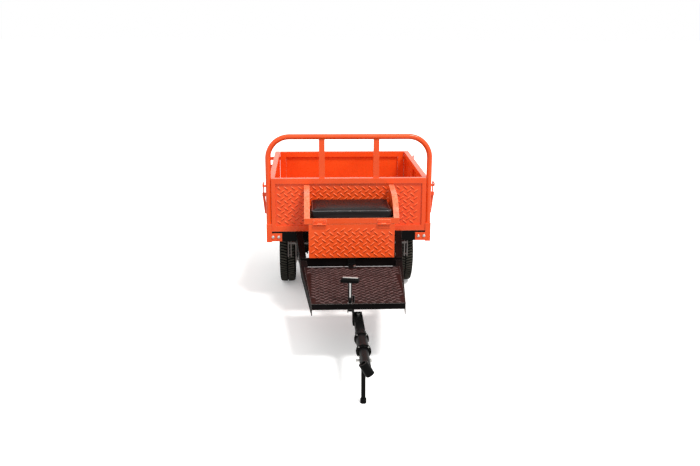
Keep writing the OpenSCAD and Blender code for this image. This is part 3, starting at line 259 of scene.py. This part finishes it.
# Bed floor: a darker orange than the walls, painted shade for the inside of the bed, with dust specks
# on top
bed_orange = paint("darker orange of the bed floor", (0.44, 0.045, 0.010), (0.58, 0.070, 0.016),
    rough=0.42, peel=0.08, edge=0.0018, coat=0.1, shine=0.4, dust_and_sheen=(0.46, 0.21, 0.13),
    edge_wear_and_highlight=ORANGE_EDGE_HIGHLIGHT)
black = paint("black powder coat", (0.0025, 0.0025, 0.0025), (0.005, 0.0047, 0.0047),
    rough=0.3, peel=0.10, edge=0.0014, shine=0.06, edge_wear_and_highlight=((0.05, 0.048, 0.047), 0.0016, 0.8))
rail_black = paint("dull black of the rails", (0.0025, 0.002, 0.002), (0.006, 0.004, 0.004),
    rough=0.5, peel=0.10, edge=0.0014, shine=0.02, dust_and_sheen=(0.020, 0.010, 0.009),
    edge_wear_and_highlight=((0.16, 0.14, 0.13), 0.0016, 0.8))
# Footboard: reddish specks on top are dust tinted as a painted reflection of the orange parts; the
# pale grey edges are worn paint and also a painted edge highlight
board_black = paint("black footboard coat", (0.003, 0.0026, 0.0026), (0.006, 0.005, 0.005),
    rough=0.34, peel=0.10, edge=0.0012, shine=0.03, dust_and_sheen=(0.060, 0.021, 0.019),
    edge_wear_and_highlight=((0.36, 0.34, 0.33), 0.0030, 0.95))
# Pale specks on the bars' tops are wear and painted glints
board_bars = paint("worn footboard bars with painted glints", (0.003, 0.002, 0.002), (0.038, 0.021, 0.020),
    rough=0.3, peel=0.3, shine=0.12, dust_and_sheen=(0.48, 0.29, 0.28))
worn_steel = paint("worn steel", (0.11, 0.085, 0.08), (0.24, 0.22, 0.21),
    rough=0.42, peel=0.2, edge=0.0008, metal=0.75, dust_and_sheen=(0.10, 0.035, 0.022))
silver = paint("silver rim paint", (0.50, 0.50, 0.50), (0.62, 0.62, 0.61),
    rough=0.36, peel=0.08, edge=0.0014, coat=0.2, metal=0.6)
pad_black = paint("moulded pedal rubber", (0.002, 0.002, 0.002), (0.005, 0.005, 0.005),
    rough=0.5, peel=0.25, edge=0.0015, shine=0.06)
# Piping vinyl greyer than the cushion's vinyl: a painted highlight along the cord, with a glossy coat
cord_black = paint("piping vinyl", (0.030, 0.032, 0.034), (0.055, 0.058, 0.062),
    rough=0.22, peel=0.05, coat=0.3, shine=0.6)


def orange_bars():
    """The orange coat on raised bars, with a painted highlight on flanks that look up and painted
    shade on those that look down.
    """
    made, tree, shader = material("orange chequer bars")
    height = split(tree, true_normal(tree))["Z"]
    dark, light = ORANGE
    colour = ramp(tree, noise(tree, 6, 5), [(0.32, dark), (0.68, light)])
    # Pale orange on up-facing flanks is a painted highlight; dark red on down-facing flanks is
    # painted shade
    for start, end, tint in ((0.05, 0.7, (0.93, 0.20, 0.065)), (-0.05, -0.5, (0.20, 0.010, 0.002))):
        colour = mixed(tree, graded(tree, height, start, end), colour, tint)
    tree.links.new(colour, shader.inputs["Base Color"])
    tree.links.new(span(tree, noise(tree, 28, 6), 0.24, 0.34), shader.inputs["Roughness"])
    shader.inputs["Specular IOR Level"].default_value = ORANGE_SHINE
    return made


def zinc_plate():
    made, tree, shader = material("zinc plate")
    streaks = noise(tree, 90, 6, 0.6, (1, 1, 4))
    colour = ramp(tree, streaks, [(0.3, (0.46, 0.46, 0.45)), (0.7, (0.78, 0.77, 0.72))])
    tree.links.new(colour, shader.inputs["Base Color"])
    tree.links.new(span(tree, noise(tree, 140, 4), 0.22, 0.42), shader.inputs["Roughness"])
    shader.inputs["Metallic"].default_value = 1.0
    relief(tree, shader, streaks, 0.06, 0.0003, 0.0008)
    return made


def tyre_rubber():
    """Rubber that is lighter on the lugs and near black between them, by the distance from the axle:
    the near-black grooves are painted shade.
    """
    made, tree, shader = material("tyre rubber")
    flat = tree.nodes.new("ShaderNodeMapping")
    flat.inputs["Location"].default_value = -at(0, AXLE_Y, AXLE_Z)
    flat.inputs["Scale"].default_value = (0, 1, 1)
    far = tree.nodes.new("ShaderNodeVectorMath")
    far.operation = "LENGTH"
    tree.links.new(place(tree), flat.inputs["Vector"])
    tree.links.new(flat.outputs["Vector"], far.inputs[0])
    # worn is 1 on the lug tops and 0 in the grooves; the near-black groove colour is painted shade
    worn = graded(tree, far.outputs["Value"], 0.2275, 0.2325)
    drift = noise(tree, 24, 8, 0.7)
    groove_shade = ramp(tree, drift, [(0.3, (0.002, 0.002, 0.002)), (0.72, (0.006, 0.0055, 0.005))])
    lug = ramp(tree, drift, [(0.3, (0.038, 0.036, 0.030)), (0.72, (0.080, 0.076, 0.063))])
    tree.links.new(mixed(tree, worn, groove_shade, lug), shader.inputs["Base Color"])
    shader.inputs["Specular IOR Level"].default_value = 0.08
    tree.links.new(span(tree, noise(tree, 55, 5), 0.62, 0.85), shader.inputs["Roughness"])
    relief(tree, shader, noise(tree, 900, 3), 0.25, 0.0005, 0.001)
    return made


def seat_vinyl():
    made, tree, shader = material("black seat vinyl")
    grain = tree.nodes.new("ShaderNodeTexVoronoi")
    grain.inputs["Scale"].default_value = 620
    tree.links.new(place(tree), grain.inputs["Vector"])
    stops = [(0.3, (0.004, 0.003, 0.003)), (0.7, (0.010, 0.007, 0.0075))]
    tree.links.new(ramp(tree, noise(tree, 9, 5), stops), shader.inputs["Base Color"])
    tree.links.new(span(tree, noise(tree, 18, 4), 0.34, 0.48), shader.inputs["Roughness"])
    shader.inputs["Specular IOR Level"].default_value = 0.18
    relief(tree, shader, grain.outputs["Distance"], 0.16, 0.0003)
    return made


def cast_iron():
    made, tree, shader = material("cast iron")
    drift = noise(tree, 40, 8, 0.7)
    colour = ramp(tree, drift, [(0.3, (0.05, 0.048, 0.046)), (0.7, (0.12, 0.115, 0.11))])
    tree.links.new(colour, shader.inputs["Base Color"])
    tree.links.new(span(tree, drift, 0.5, 0.75), shader.inputs["Roughness"])
    shader.inputs["Metallic"].default_value = 0.7
    relief(tree, shader, noise(tree, 480, 5), 0.35, 0.0006, 0.0012)
    return made


def ply():
    made, tree, shader = material("plywood")
    rings = noise(tree, 14, 6, 0.6, (0.6, 9, 30))
    colour = ramp(tree, rings,
        [(0.25, (0.30, 0.17, 0.08)), (0.5, (0.46, 0.30, 0.16)), (0.78, (0.56, 0.40, 0.23))])
    tree.links.new(colour, shader.inputs["Base Color"])
    tree.links.new(span(tree, rings, 0.55, 0.75), shader.inputs["Roughness"])
    relief(tree, shader, rings, 0.2, 0.0005, 0.0008)
    return made


def pedal_gloss():
    """Gloss black that boots have rubbed to bright steel down the front of the pedal's stem."""
    made, tree, shader = material("gloss black pedal")
    foot = at(PEDAL_X, PEDAL_Y, 389)
    where = split(tree, place(tree))
    bare = span(tree, noise(tree, 160, 5), 0.8, 1.0)
    for axis, outside, inside in (("X", foot.x - 0.0038, foot.x - 0.0026),
            ("X", foot.x + 0.0048, foot.x + 0.0034), ("Y", foot.y, foot.y - 0.001),
            ("Z", foot.z - 0.004, foot.z + 0.004)):
        bare = product(tree, bare, graded(tree, where[axis], outside, inside))
    drift = noise(tree, 12, 4)
    coat = ramp(tree, drift, [(0.3, (0.003, 0.003, 0.003)), (0.7, (0.007, 0.007, 0.007))])
    steel = ramp(tree, noise(tree, 220, 3), [(0.3, (0.72, 0.72, 0.71)), (0.7, (0.92, 0.92, 0.91))])
    tree.links.new(mixed(tree, bare, coat, steel), shader.inputs["Base Color"])
    tree.links.new(bare, shader.inputs["Metallic"])
    tree.links.new(span(tree, drift, 0.22, 0.34), shader.inputs["Roughness"])
    shader.inputs["Specular IOR Level"].default_value = 0.2
    relief(tree, shader, drift, 0.05, 0.0003, 0.001)
    return made


bars = orange_bars()
zinc = zinc_plate()
rubber = tyre_rubber()
vinyl = seat_vinyl()

looks = {"orange_paint": orange, "black_paint": black, "zinc": zinc, "rubber": rubber,
    "rim_paint": silver, "cast_hub": cast_iron(), "vinyl": vinyl, "plywood": ply()}
own_looks = {"footboard": board_black, "bed_floor": bed_orange, "seat_frame": seat_orange,
    "frame_rails": rail_black, "brake_pedal": pedal_gloss(), "brake_cross_shaft": worn_steel}
for part in frame["record"]["subparts"]:
    mesh = nodes[part["node"]].data
    mesh.materials.clear()
    mesh.materials.append(own_looks.get(part["node"], looks[part["material_slot"]]))


# Pieces

def added(name, mesh, look):
    """A smooth object of the mesh, in the scene."""
    mesh.polygons.foreach_set("use_smooth", [True] * len(mesh.polygons))
    mesh.materials.append(look)
    made = bpy.data.objects.new(name, mesh)
    scene.collection.objects.link(made)
    return made


def skin(name, points, faces):
    mesh = bpy.data.meshes.new(name)
    mesh.from_pydata([tuple(p) for p in points], [], [tuple(f) for f in faces])
    mesh.validate()
    mesh.update()
    return mesh


def piece(name, mesh, look, body):
    made = added(name, mesh, look)
    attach(made, body)
    return made


def circle(centre, radius, side, other, count):
    turns = [2 * math.pi * k / count for k in range(count)]
    return [centre + radius * (math.cos(t) * side + math.sin(t) * other) for t in turns]


def band(a, b, count):
    """Faces between two rings of points that start at a and b."""
    return [(a + j, a + (j + 1) % count, b + (j + 1) % count, b + j) for j in range(count)]


def tube(path, radius, sides=10, closed=False):
    """Points and faces of a round tube along a list of points."""
    path = [Vector(p) for p in path]
    n = len(path)
    points, faces = [], []
    side = None
    for k, p in enumerate(path):
        ahead = path[(k + 1) % n] if closed or k < n - 1 else p
        behind = path[k - 1] if closed or k else p
        along = (ahead - behind).normalized()
        if side is None:
            side = along.orthogonal().normalized()
        side = (side - along * side.dot(along)).normalized()
        points += circle(p, radius, side, along.cross(side), sides)
    for k in range(n if closed else n - 1):
        faces += band(k * sides, (k + 1) % n * sides, sides)
    if not closed:
        faces += [tuple(range(sides))[::-1], tuple((n - 1) * sides + j for j in range(sides))]
    return points, faces


# Chequer plate: one slant of bars on a square grid, the other slant between

PITCH, BAR_LENGTH, BAR_HALF, BAR_RISE = 0.0445, 0.0340, 0.0045, 0.0033
BAR_STATIONS = (-0.985, -0.8, -0.4, 0.0, 0.4, 0.8, 0.985)
BAR_SECTION = ((-1, -0.2), (-0.62, 0.86), (0, 1), (0.62, 0.86), (1, -0.2))
SLANTS = ((0.77, -0.64), (0.77, 0.64))


def bar(points, faces, middle, along, aside, out):
    """Adds one raised bar with thin ends."""
    base, wide = len(points), len(BAR_SECTION)
    for t in BAR_STATIONS:
        w = BAR_HALF * (1 - t * t) ** 0.4
        h = BAR_RISE * (1 - t ** 4) ** 0.5
        for a, b in BAR_SECTION:
            points.append(middle + t * BAR_LENGTH / 2 * along + a * w * aside + b * h * out)
    for k in range(len(BAR_STATIONS) - 1):
        for m in range(wide - 1):
            a = base + wide * k + m
            faces.append((a, a + 1, a + wide + 1, a + wide))
    last = base + wide * (len(BAR_STATIONS) - 1)
    faces += [tuple(base + m for m in range(wide))[::-1], tuple(last + m for m in range(wide))]


def chequer(name, corner, across, up, width, height, keep, look, start=(0.5, 0.45)):
    """Raised bars on a plate. keep says where a bar fits.

    start is where the grid begins, as shares of its pitch."""
    out = across.cross(up)
    reach = BAR_LENGTH / 2
    points, faces = [], []
    for slant, (du, dv) in enumerate(SLANTS):
        for i in range(-1, int(width / PITCH) + 2):
            for j in range(-1, int(height / PITCH) + 2):
                u = (i + start[0] + 0.5 * slant) * PITCH
                v = (j + start[1] + 0.5 * slant) * PITCH
                if all(keep(u + s * du * reach, v + s * dv * reach) for s in (-1, 0, 1)):
                    bar(points, faces, corner + u * across + v * up, du * across + dv * up,
                        dv * across - du * up, out)
    return piece(name, skin(name, points, faces), look, "chassis")


wall_low, wall_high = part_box("front_wall_panel")
wall_size = wall_high - wall_low
box_low, box_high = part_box("toolbox_front")
box_size = box_high - box_low


def on_wall(u, v):
    rim = 0.006
    return rim < u < wall_size.x - rim and rim < v < wall_size.z - rim


def on_toolbox(u, v):
    """On the toolbox's front, clear of the hinges and of the small hole."""
    hinge_x, hinge_half, hinge_drop = 0.190, 0.047, 0.031
    hole_x, hole_z, hole_room = 0.123, 0.031, 0.007
    x, z = box_low.x + u, box_low.z + v
    if abs(abs(x) - hinge_x) < hinge_half and z > box_high.z - hinge_drop:
        return False
    if (x - hole_x) ** 2 + (z - box_low.z - hole_z) ** 2 < hole_room ** 2:
        return False
    return 0.005 < u < box_size.x - 0.005 and 0.005 < v < box_size.z - 0.007


def on_footboard(u, v):
    """On the tapered footboard, clear of the pedal's stem and of the centre bracket."""
    rim = 7
    x, y = (u - 0.3) * 1000, v * 1000 + BOARD_FRONT
    back = (y - BOARD_FRONT) / (BOARD_BACK - BOARD_FRONT)
    half = BOARD_HALF_FRONT + (BOARD_HALF_BACK - BOARD_HALF_FRONT) * back - rim
    if -62 < x < -14 and y < -980 or abs(x) < 29 and y > -425:
        return False
    return abs(x) < half and BOARD_FRONT + rim < y < BOARD_BACK - rim


chequer("front_wall_chequer", wall_low, X, Z, wall_size.x, wall_size.z, on_wall, bars)
chequer("toolbox_chequer", box_low, X, Z, box_size.x, box_size.z, on_toolbox, bars,
    (0.05, 0.375))
chequer("footboard_chequer", at(-300, BOARD_FRONT, BOARD_TOP), X, Y, 0.6, 0.638, on_footboard,
    board_bars)


# Tyres: a carcass with two rows of slanted lugs that run over the shoulders

# Half of the carcass's section, outside and then inside: distance from the middle, and radius
CARCASS = [(0, 226.5), (38, 226), (45, 222), (49, 214), (51.5, 204), (53.2, 194), (54, 191),
    (54, 178), (53, 173), (51.5, 164), (44, 148), (38, 139.5), (37.2, 132), (34, 127.4),
    (23, 127.4), (25, 139.5), (40, 161.5), (42, 183), (38, 211), (30, 217), (0, 218)]
CARCASS_TURNS = 120
# Steps along a lug: distance from the middle, bend, radius of its top and foot, half width
LUG_STEPS = [(4, 6.5, 235.0, 223, 4.6), (17, 2.0, 235.0, 223, 4.9), (31, -2.0, 234.6, 222, 5.2),
    (43, -3.4, 233.0, 219, 5.4), (49.5, -3.8, 226.5, 211, 5.4), (53, -4.0, 209, 200, 4.6)]
LUG_COUNT, LUG_FLARE, TYRE_RADIUS = 74, 1.6, 235
VALVE_TURN = 0.7
# Distance along the axle from the tyre's middle, and radius
VALVE_STEPS = ((30, 118), (41, 114), (62, 104))


def wheel_point(middle, x, r, t):
    return middle + Vector((x, r * math.cos(t), r * math.sin(t))) / 1000


def carcass(points, faces, middle):
    outline = CARCASS + [(-x, r) for x, r in CARCASS[-2:0:-1]]
    n = len(outline)
    for k in range(CARCASS_TURNS):
        t = 2 * math.pi * k / CARCASS_TURNS
        points += [wheel_point(middle, x, r, t) for x, r in outline]
    for k in range(CARCASS_TURNS):
        faces += band(k * n, (k + 1) % CARCASS_TURNS * n, n)


def lug(points, faces, middle, half, t0):
    """Adds one lug to the half of the tread at -1 or 1."""
    base = len(points)
    for x, bend, top, foot, wide in LUG_STEPS:
        flared = wide + LUG_FLARE
        for r, w in ((foot, -flared), (top, -wide), (top, wide), (foot, flared)):
            points.append(wheel_point(middle, half * x, r, t0 + (bend + w) / TYRE_RADIUS))
    made = []
    for m in range(len(LUG_STEPS) - 1):
        made += band(base + 4 * m, base + 4 * (m + 1), 4)
    last = base + 4 * (len(LUG_STEPS) - 1)
    made += [(base + 3, base + 2, base + 1, base), (last, last + 1, last + 2, last + 3)]
    faces += made if half < 0 else [f[::-1] for f in made]


def tyre(side, sign):
    middle = at(sign * WHEEL_X, AXLE_Y, AXLE_Z)
    points, faces = [], []
    carcass(points, faces, middle)
    round_faces = len(faces)
    for half, offset in ((-1, 0.75), (1, 0.25)):
        for k in range(LUG_COUNT):
            lug(points, faces, middle, half, 2 * math.pi * (k + offset) / LUG_COUNT)
    name = "tyre_cover_" + side
    made = piece(name, skin(name, points, faces), rubber, "wheel_" + side)
    smooth = [k < round_faces for k in range(len(made.data.polygons))]
    made.data.polygons.foreach_set("use_smooth", smooth)
    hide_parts("tyre_" + side)
    # Valve stem through the rim
    name = "valve_stem_" + side
    stem = [wheel_point(middle, sign * x, r, VALVE_TURN) for x, r in VALVE_STEPS]
    piece(name, skin(name, *tube(stem, 0.0042, 12)), rubber, "wheel_" + side)


for side, sign in (("left", -1), ("right", 1)):
    tyre(side, sign)


# Seat cushion: the CAD form, blown up as cloth

CLOTH_FRAMES = 20
# How far the cloth may leave the CAD form, and how high up it is held
CLOTH_CAP, HELD_HEIGHT = 0.0032, 0.012
# Half sizes of the cushion, for going round it evenly
CUSHION_HALF_X, CUSHION_HALF_Y = 0.244, 0.16


def recompute(mesh):
    work = bmesh.new()
    work.from_mesh(mesh)
    bmesh.ops.remove_doubles(work, verts=work.verts, dist=1e-5)
    bmesh.ops.recalc_face_normals(work, faces=work.faces)
    work.to_mesh(mesh)
    work.free()


def apply_all(obj):
    graph = bpy.context.evaluated_depsgraph_get()
    mesh = bpy.data.meshes.new_from_object(obj.evaluated_get(graph))
    obj.modifiers.clear()
    obj.data = mesh


def corners(obj):
    return np.array([v.co for v in obj.data.vertices])


def even_cushion():
    """A copy of the CAD cushion with a fine, even skin."""
    mesh = nodes["seat_cushion"].data.copy()
    mesh.name = "seat_cushion_cover"
    made = bpy.data.objects.new("seat_cushion_cover", mesh)
    scene.collection.objects.link(made)
    recompute(mesh)
    remesh = made.modifiers.new("remesh", "REMESH")
    remesh.mode = "VOXEL"
    remesh.voxel_size = 0.006
    ease = made.modifiers.new("ease", "SMOOTH")
    ease.factor = 0.5
    ease.iterations = 3
    apply_all(made)
    return made


def blow_up(obj):
    """Runs the cushion as cloth under pressure, held at its foot, and caps how far it goes."""
    rest = corners(obj)
    low = rest[:, 2] < rest[:, 2].min() + HELD_HEIGHT
    held = obj.vertex_groups.new(name="held")
    held.add([int(k) for k in np.nonzero(low)[0]], 1.0, "REPLACE")
    settings = obj.modifiers.new("cloth", "CLOTH").settings
    settings.quality = 6
    settings.mass = 0.3
    settings.tension_stiffness = 18
    settings.compression_stiffness = 18
    settings.shear_stiffness = 8
    settings.bending_stiffness = 0.6
    settings.use_pressure = True
    settings.uniform_pressure_force = 4
    settings.vertex_group_mass = "held"
    settings.effector_weights.gravity = 0
    for k in range(1, CLOTH_FRAMES + 1):
        scene.frame_set(k)
    apply_all(obj)
    scene.frame_set(1)
    moved = corners(obj) - rest
    far = np.linalg.norm(moved, axis=1)
    cap = np.minimum(1.0, CLOTH_CAP / np.maximum(far, 1e-9))
    blown = rest + moved * cap[:, None]
    obj.data.vertices.foreach_set("co", blown.astype(np.float32).ravel())
    obj.data.update()


cushion = even_cushion()
blow_up(cushion)
finer = cushion.modifiers.new("finer", "SUBSURF")
finer.levels = 1
finer.render_levels = 1
apply_all(cushion)
cushion.data.polygons.foreach_set("use_smooth", [True] * len(cushion.data.polygons))
cushion.data.materials.clear()
cushion.data.materials.append(vinyl)
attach(cushion, "seat")
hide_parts("seat_cushion")


def cushion_loop(z, out, count=240):
    """A loop round the finished cushion at height z, a little proud of its skin."""
    form = corners(cushion)
    near = form[np.abs(form[:, 2] - z) < 0.0035]
    centre = (near[:, :2].min(axis=0) + near[:, :2].max(axis=0)) / 2
    away = near[:, :2] - centre
    turn = np.arctan2(away[:, 1] / CUSHION_HALF_Y, away[:, 0] / CUSHION_HALF_X)
    far = np.hypot(away[:, 0], away[:, 1])
    order = np.argsort(turn)
    grid = np.linspace(-math.pi, math.pi, count, endpoint=False)
    reach = np.interp(grid, turn[order], far[order], period=2 * math.pi)
    reach = sum(np.roll(reach, k) for k in (-1, 0, 1)) / 3 + out
    loop = []
    for t, r in zip(grid, reach):
        way = np.array([CUSHION_HALF_X * math.cos(t), CUSHION_HALF_Y * math.sin(t)])
        way /= np.linalg.norm(way)
        loop.append(Vector((*(centre + r * way), z)))
    return loop


for name, z, out, radius, sides in (("seat_piping_top", 0.6845, 0.0006, 0.0036, 12),
        ("seat_piping_low", 0.6370, 0.0002, 0.0022, 8)):
    cord = tube(cushion_loop(z, out), radius, sides, closed=True)
    piece(name, skin(name, *cord), cord_black, "seat")


# Return spring of the pedal, drawn as a fixed coil; the real one stretches as the pedal goes forward

COILS, COIL_STEPS, COIL_RADIUS, WIRE_RADIUS = 14, 22, 5.2, 0.0009

coil = []
for k in range(COILS * COIL_STEPS + 1):
    t = 2 * math.pi * k / COIL_STEPS
    y = SPRING_FRONT + SPRING_LENGTH * k / (COILS * COIL_STEPS)
    coil.append(at(PEDAL_X + COIL_RADIUS * math.cos(t), y, SPRING_Z + COIL_RADIUS * math.sin(t)))
wire = skin("pedal_spring_wire", *tube(coil, WIRE_RADIUS, 8))
spring = added("pedal_spring_wire", wire, zinc)
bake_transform(spring)
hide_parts("pedal_spring")


# Pedal cover of moulded rubber with cross ribs and a bright tread strip

PAD_TURN, PAD_TILT = math.radians(-12), math.radians(4)


def rounded_box(work, low, high, radius, where):
    made = bmesh.ops.create_cube(work, size=1.0)["verts"]
    for v in made:
        v.co = where @ Vector([low[k] + (high[k] - low[k]) * (v.co[k] + 0.5) for k in range(3)])
    rims = list({e for v in made for e in v.link_edges})
    bmesh.ops.bevel(work, geom=rims, offset=radius, segments=3, profile=0.5, affect="EDGES",
        clamp_overlap=True)


def bevelled(name, boxes, where, look, body):
    """One piece made of rounded boxes, each given by two corners and a radius."""
    work = bmesh.new()
    for low, high, radius in boxes:
        rounded_box(work, low, high, radius, where)
    mesh = bpy.data.meshes.new(name)
    work.to_mesh(mesh)
    work.free()
    return piece(name, mesh, look, body)


pad = (Matrix.Translation(at(PEDAL_X, PEDAL_Y, PAD_Z)) @ Matrix.Rotation(PAD_TURN, 4, "Z")
    @ Matrix.Rotation(PAD_TILT, 4, "X"))
boxes = [((-0.0475, -0.0230, -0.0090), (0.0475, 0.0230, 0.0095), 0.0045)]
for rib in (-0.0155, -0.0085):
    boxes.append(((-0.041, rib, 0.008), (0.041, rib + 0.0036, 0.0110), 0.0010))
bevelled("pedal_cover", boxes, pad, pad_black, "pedal")
tread = [((-0.040, 0.0035, 0.0075), (0.040, 0.0190, 0.0112), 0.0012)]
bevelled("pedal_tread", tread, pad, zinc, "pedal")


# Screws of the seat hinges, painted over

SCREW_RADIUS, SCREW_RISE, SCREW_SIDES = 0.0038, 0.0019, 14
# Rings of a low round head, as shares of its radius and height
SCREW_RINGS = ((1.0, -0.3), (1.0, 0.25), (0.82, 0.68), (0.45, 0.94))


def screws(name, places, body):
    """Low round heads that stand forward."""
    out = -Y
    side = out.orthogonal().normalized()
    other = out.cross(side)
    points, faces = [], []
    for p in places:
        base = len(points)
        for w, h in SCREW_RINGS:
            points += circle(p + SCREW_RISE * h * out, SCREW_RADIUS * w, side, other, SCREW_SIDES)
        points.append(p + SCREW_RISE * out)
        top = base
        for k in range(len(SCREW_RINGS) - 1):
            top = base + (k + 1) * SCREW_SIDES
            faces += band(top - SCREW_SIDES, top, SCREW_SIDES)
        tip = top + SCREW_SIDES
        faces += [(top + j, top + (j + 1) % SCREW_SIDES, tip) for j in range(SCREW_SIDES)]
    return piece(name, skin(name, points, faces), orange, body)


screw_x = [s * 191 + d for s in (-1, 1) for d in (-28, 28)]
screws("hinge_screws_low", [at(x, SCREW_Y, SCREW_LOW) for x in screw_x], "chassis")
screws("hinge_screws_high", [at(x, SCREW_Y, SCREW_HIGH) for x in screw_x], "seat")


# Stage: white floor, soft sky, one sun, and the camera fitted to the photograph

FLOOR_HALF = 60
SUN_WAY = (-0.34, 0.38, -0.88)
CAMERA_YAW, CAMERA_PITCH, CAMERA_ROLL = (math.radians(d) for d in (3.03, 15.08, 0.28))
# Focal length and width of the photograph, in pixels
FOCAL, PHOTO_WIDTH = 800, 700


def mirrors(tree, path):
    """1 for a ray that a reflection or a glass sends on."""
    return combined(tree, "MAXIMUM", path.outputs["Is Glossy Ray"],
        path.outputs["Is Transmission Ray"])


def floor():
    """White to the camera, with the object's shadow, and paler in reflections than to other rays.

    The dim floor keeps the undersides dark."""
    made, tree, shader = material("white floor")
    path = tree.nodes.new("ShaderNodeLightPath")
    seen = path.outputs["Is Camera Ray"]
    drift = noise(tree, 0.6, 3)
    shade = ramp(tree, drift, [(0.3, (0.93, 0.93, 0.93)), (0.7, (0.96, 0.96, 0.96))])
    dim = ramp(tree, drift, [(0.3, (0.34, 0.33, 0.32)), (0.7, (0.35, 0.34, 0.33))])
    mirrored = mixed(tree, mirrors(tree, path), dim, (0.57, 0.57, 0.57))
    tree.links.new(mixed(tree, seen, mirrored, shade), shader.inputs["Base Color"])
    shader.inputs["Roughness"].default_value = 0.95
    shader.inputs["Specular IOR Level"].default_value = 0.0
    shader.inputs["Emission Color"].default_value = (1, 1, 1, 1)
    glow = product(tree, seen, span(tree, drift, 0.2, 0.22))
    tree.links.new(glow, shader.inputs["Emission Strength"])
    half = FLOOR_HALF
    mesh = bpy.data.meshes.new("floor")
    mesh.from_pydata([(-half, -half, 0), (half, -half, 0), (half, half, 0), (-half, half, 0)], [],
        [(0, 1, 2, 3)])
    mesh.materials.append(made)
    obj = bpy.data.objects.new("floor", mesh)
    scene.collection.objects.link(obj)


def sky():
    world = bpy.data.worlds.new("studio")
    scene.world = world
    world.use_nodes = True
    tree = world.node_tree
    tree.nodes.clear()
    out = tree.nodes.new("ShaderNodeOutputWorld")
    path = tree.nodes.new("ShaderNodeLightPath")
    mix = tree.nodes.new("ShaderNodeMixShader")
    seen = combined(tree, "MAXIMUM", path.outputs["Is Camera Ray"], mirrors(tree, path))
    tree.links.new(seen, mix.inputs["Fac"])
    for entry, colour in ((1, (1.0, 0.995, 0.985, 1)), (2, (1, 1, 1, 1))):
        light = tree.nodes.new("ShaderNodeBackground")
        light.inputs["Color"].default_value = colour
        light.inputs["Strength"].default_value = 1.0
        tree.links.new(light.outputs["Background"], mix.inputs[entry])
    tree.links.new(mix.outputs["Shader"], out.inputs["Surface"])


def sun():
    data = bpy.data.lights.new("sun", "SUN")
    data.energy = 2.8
    data.angle = math.radians(14)
    data.color = (1.0, 0.985, 0.96)
    obj = bpy.data.objects.new("sun", data)
    obj.rotation_mode = "QUATERNION"
    obj.rotation_quaternion = Vector(SUN_WAY).to_track_quat("-Z", "Y")
    scene.collection.objects.link(obj)


def camera():
    level = Vector((math.sin(CAMERA_YAW), math.cos(CAMERA_YAW), 0))
    ahead = math.cos(CAMERA_PITCH) * level - math.sin(CAMERA_PITCH) * Z
    right = Vector((math.cos(CAMERA_YAW), -math.sin(CAMERA_YAW), 0))
    up = right.cross(ahead)
    across = math.cos(CAMERA_ROLL) * right + math.sin(CAMERA_ROLL) * up
    upright = -math.sin(CAMERA_ROLL) * right + math.cos(CAMERA_ROLL) * up
    data = bpy.data.cameras.new("camera")
    data.sensor_fit = "HORIZONTAL"
    data.sensor_width = 36.0
    data.lens = FOCAL / PHOTO_WIDTH * data.sensor_width
    data.clip_end = 200
    obj = bpy.data.objects.new("camera", data)
    turn = Matrix((across, upright, -ahead)).transposed()
    obj.matrix_world = Matrix.Translation(at(-254.3, -4942.5, 1797.6)) @ turn.to_4x4()
    scene.collection.objects.link(obj)
    scene.camera = obj


floor()
sky()
sun()
camera()
scene.view_settings.view_transform = "Standard"
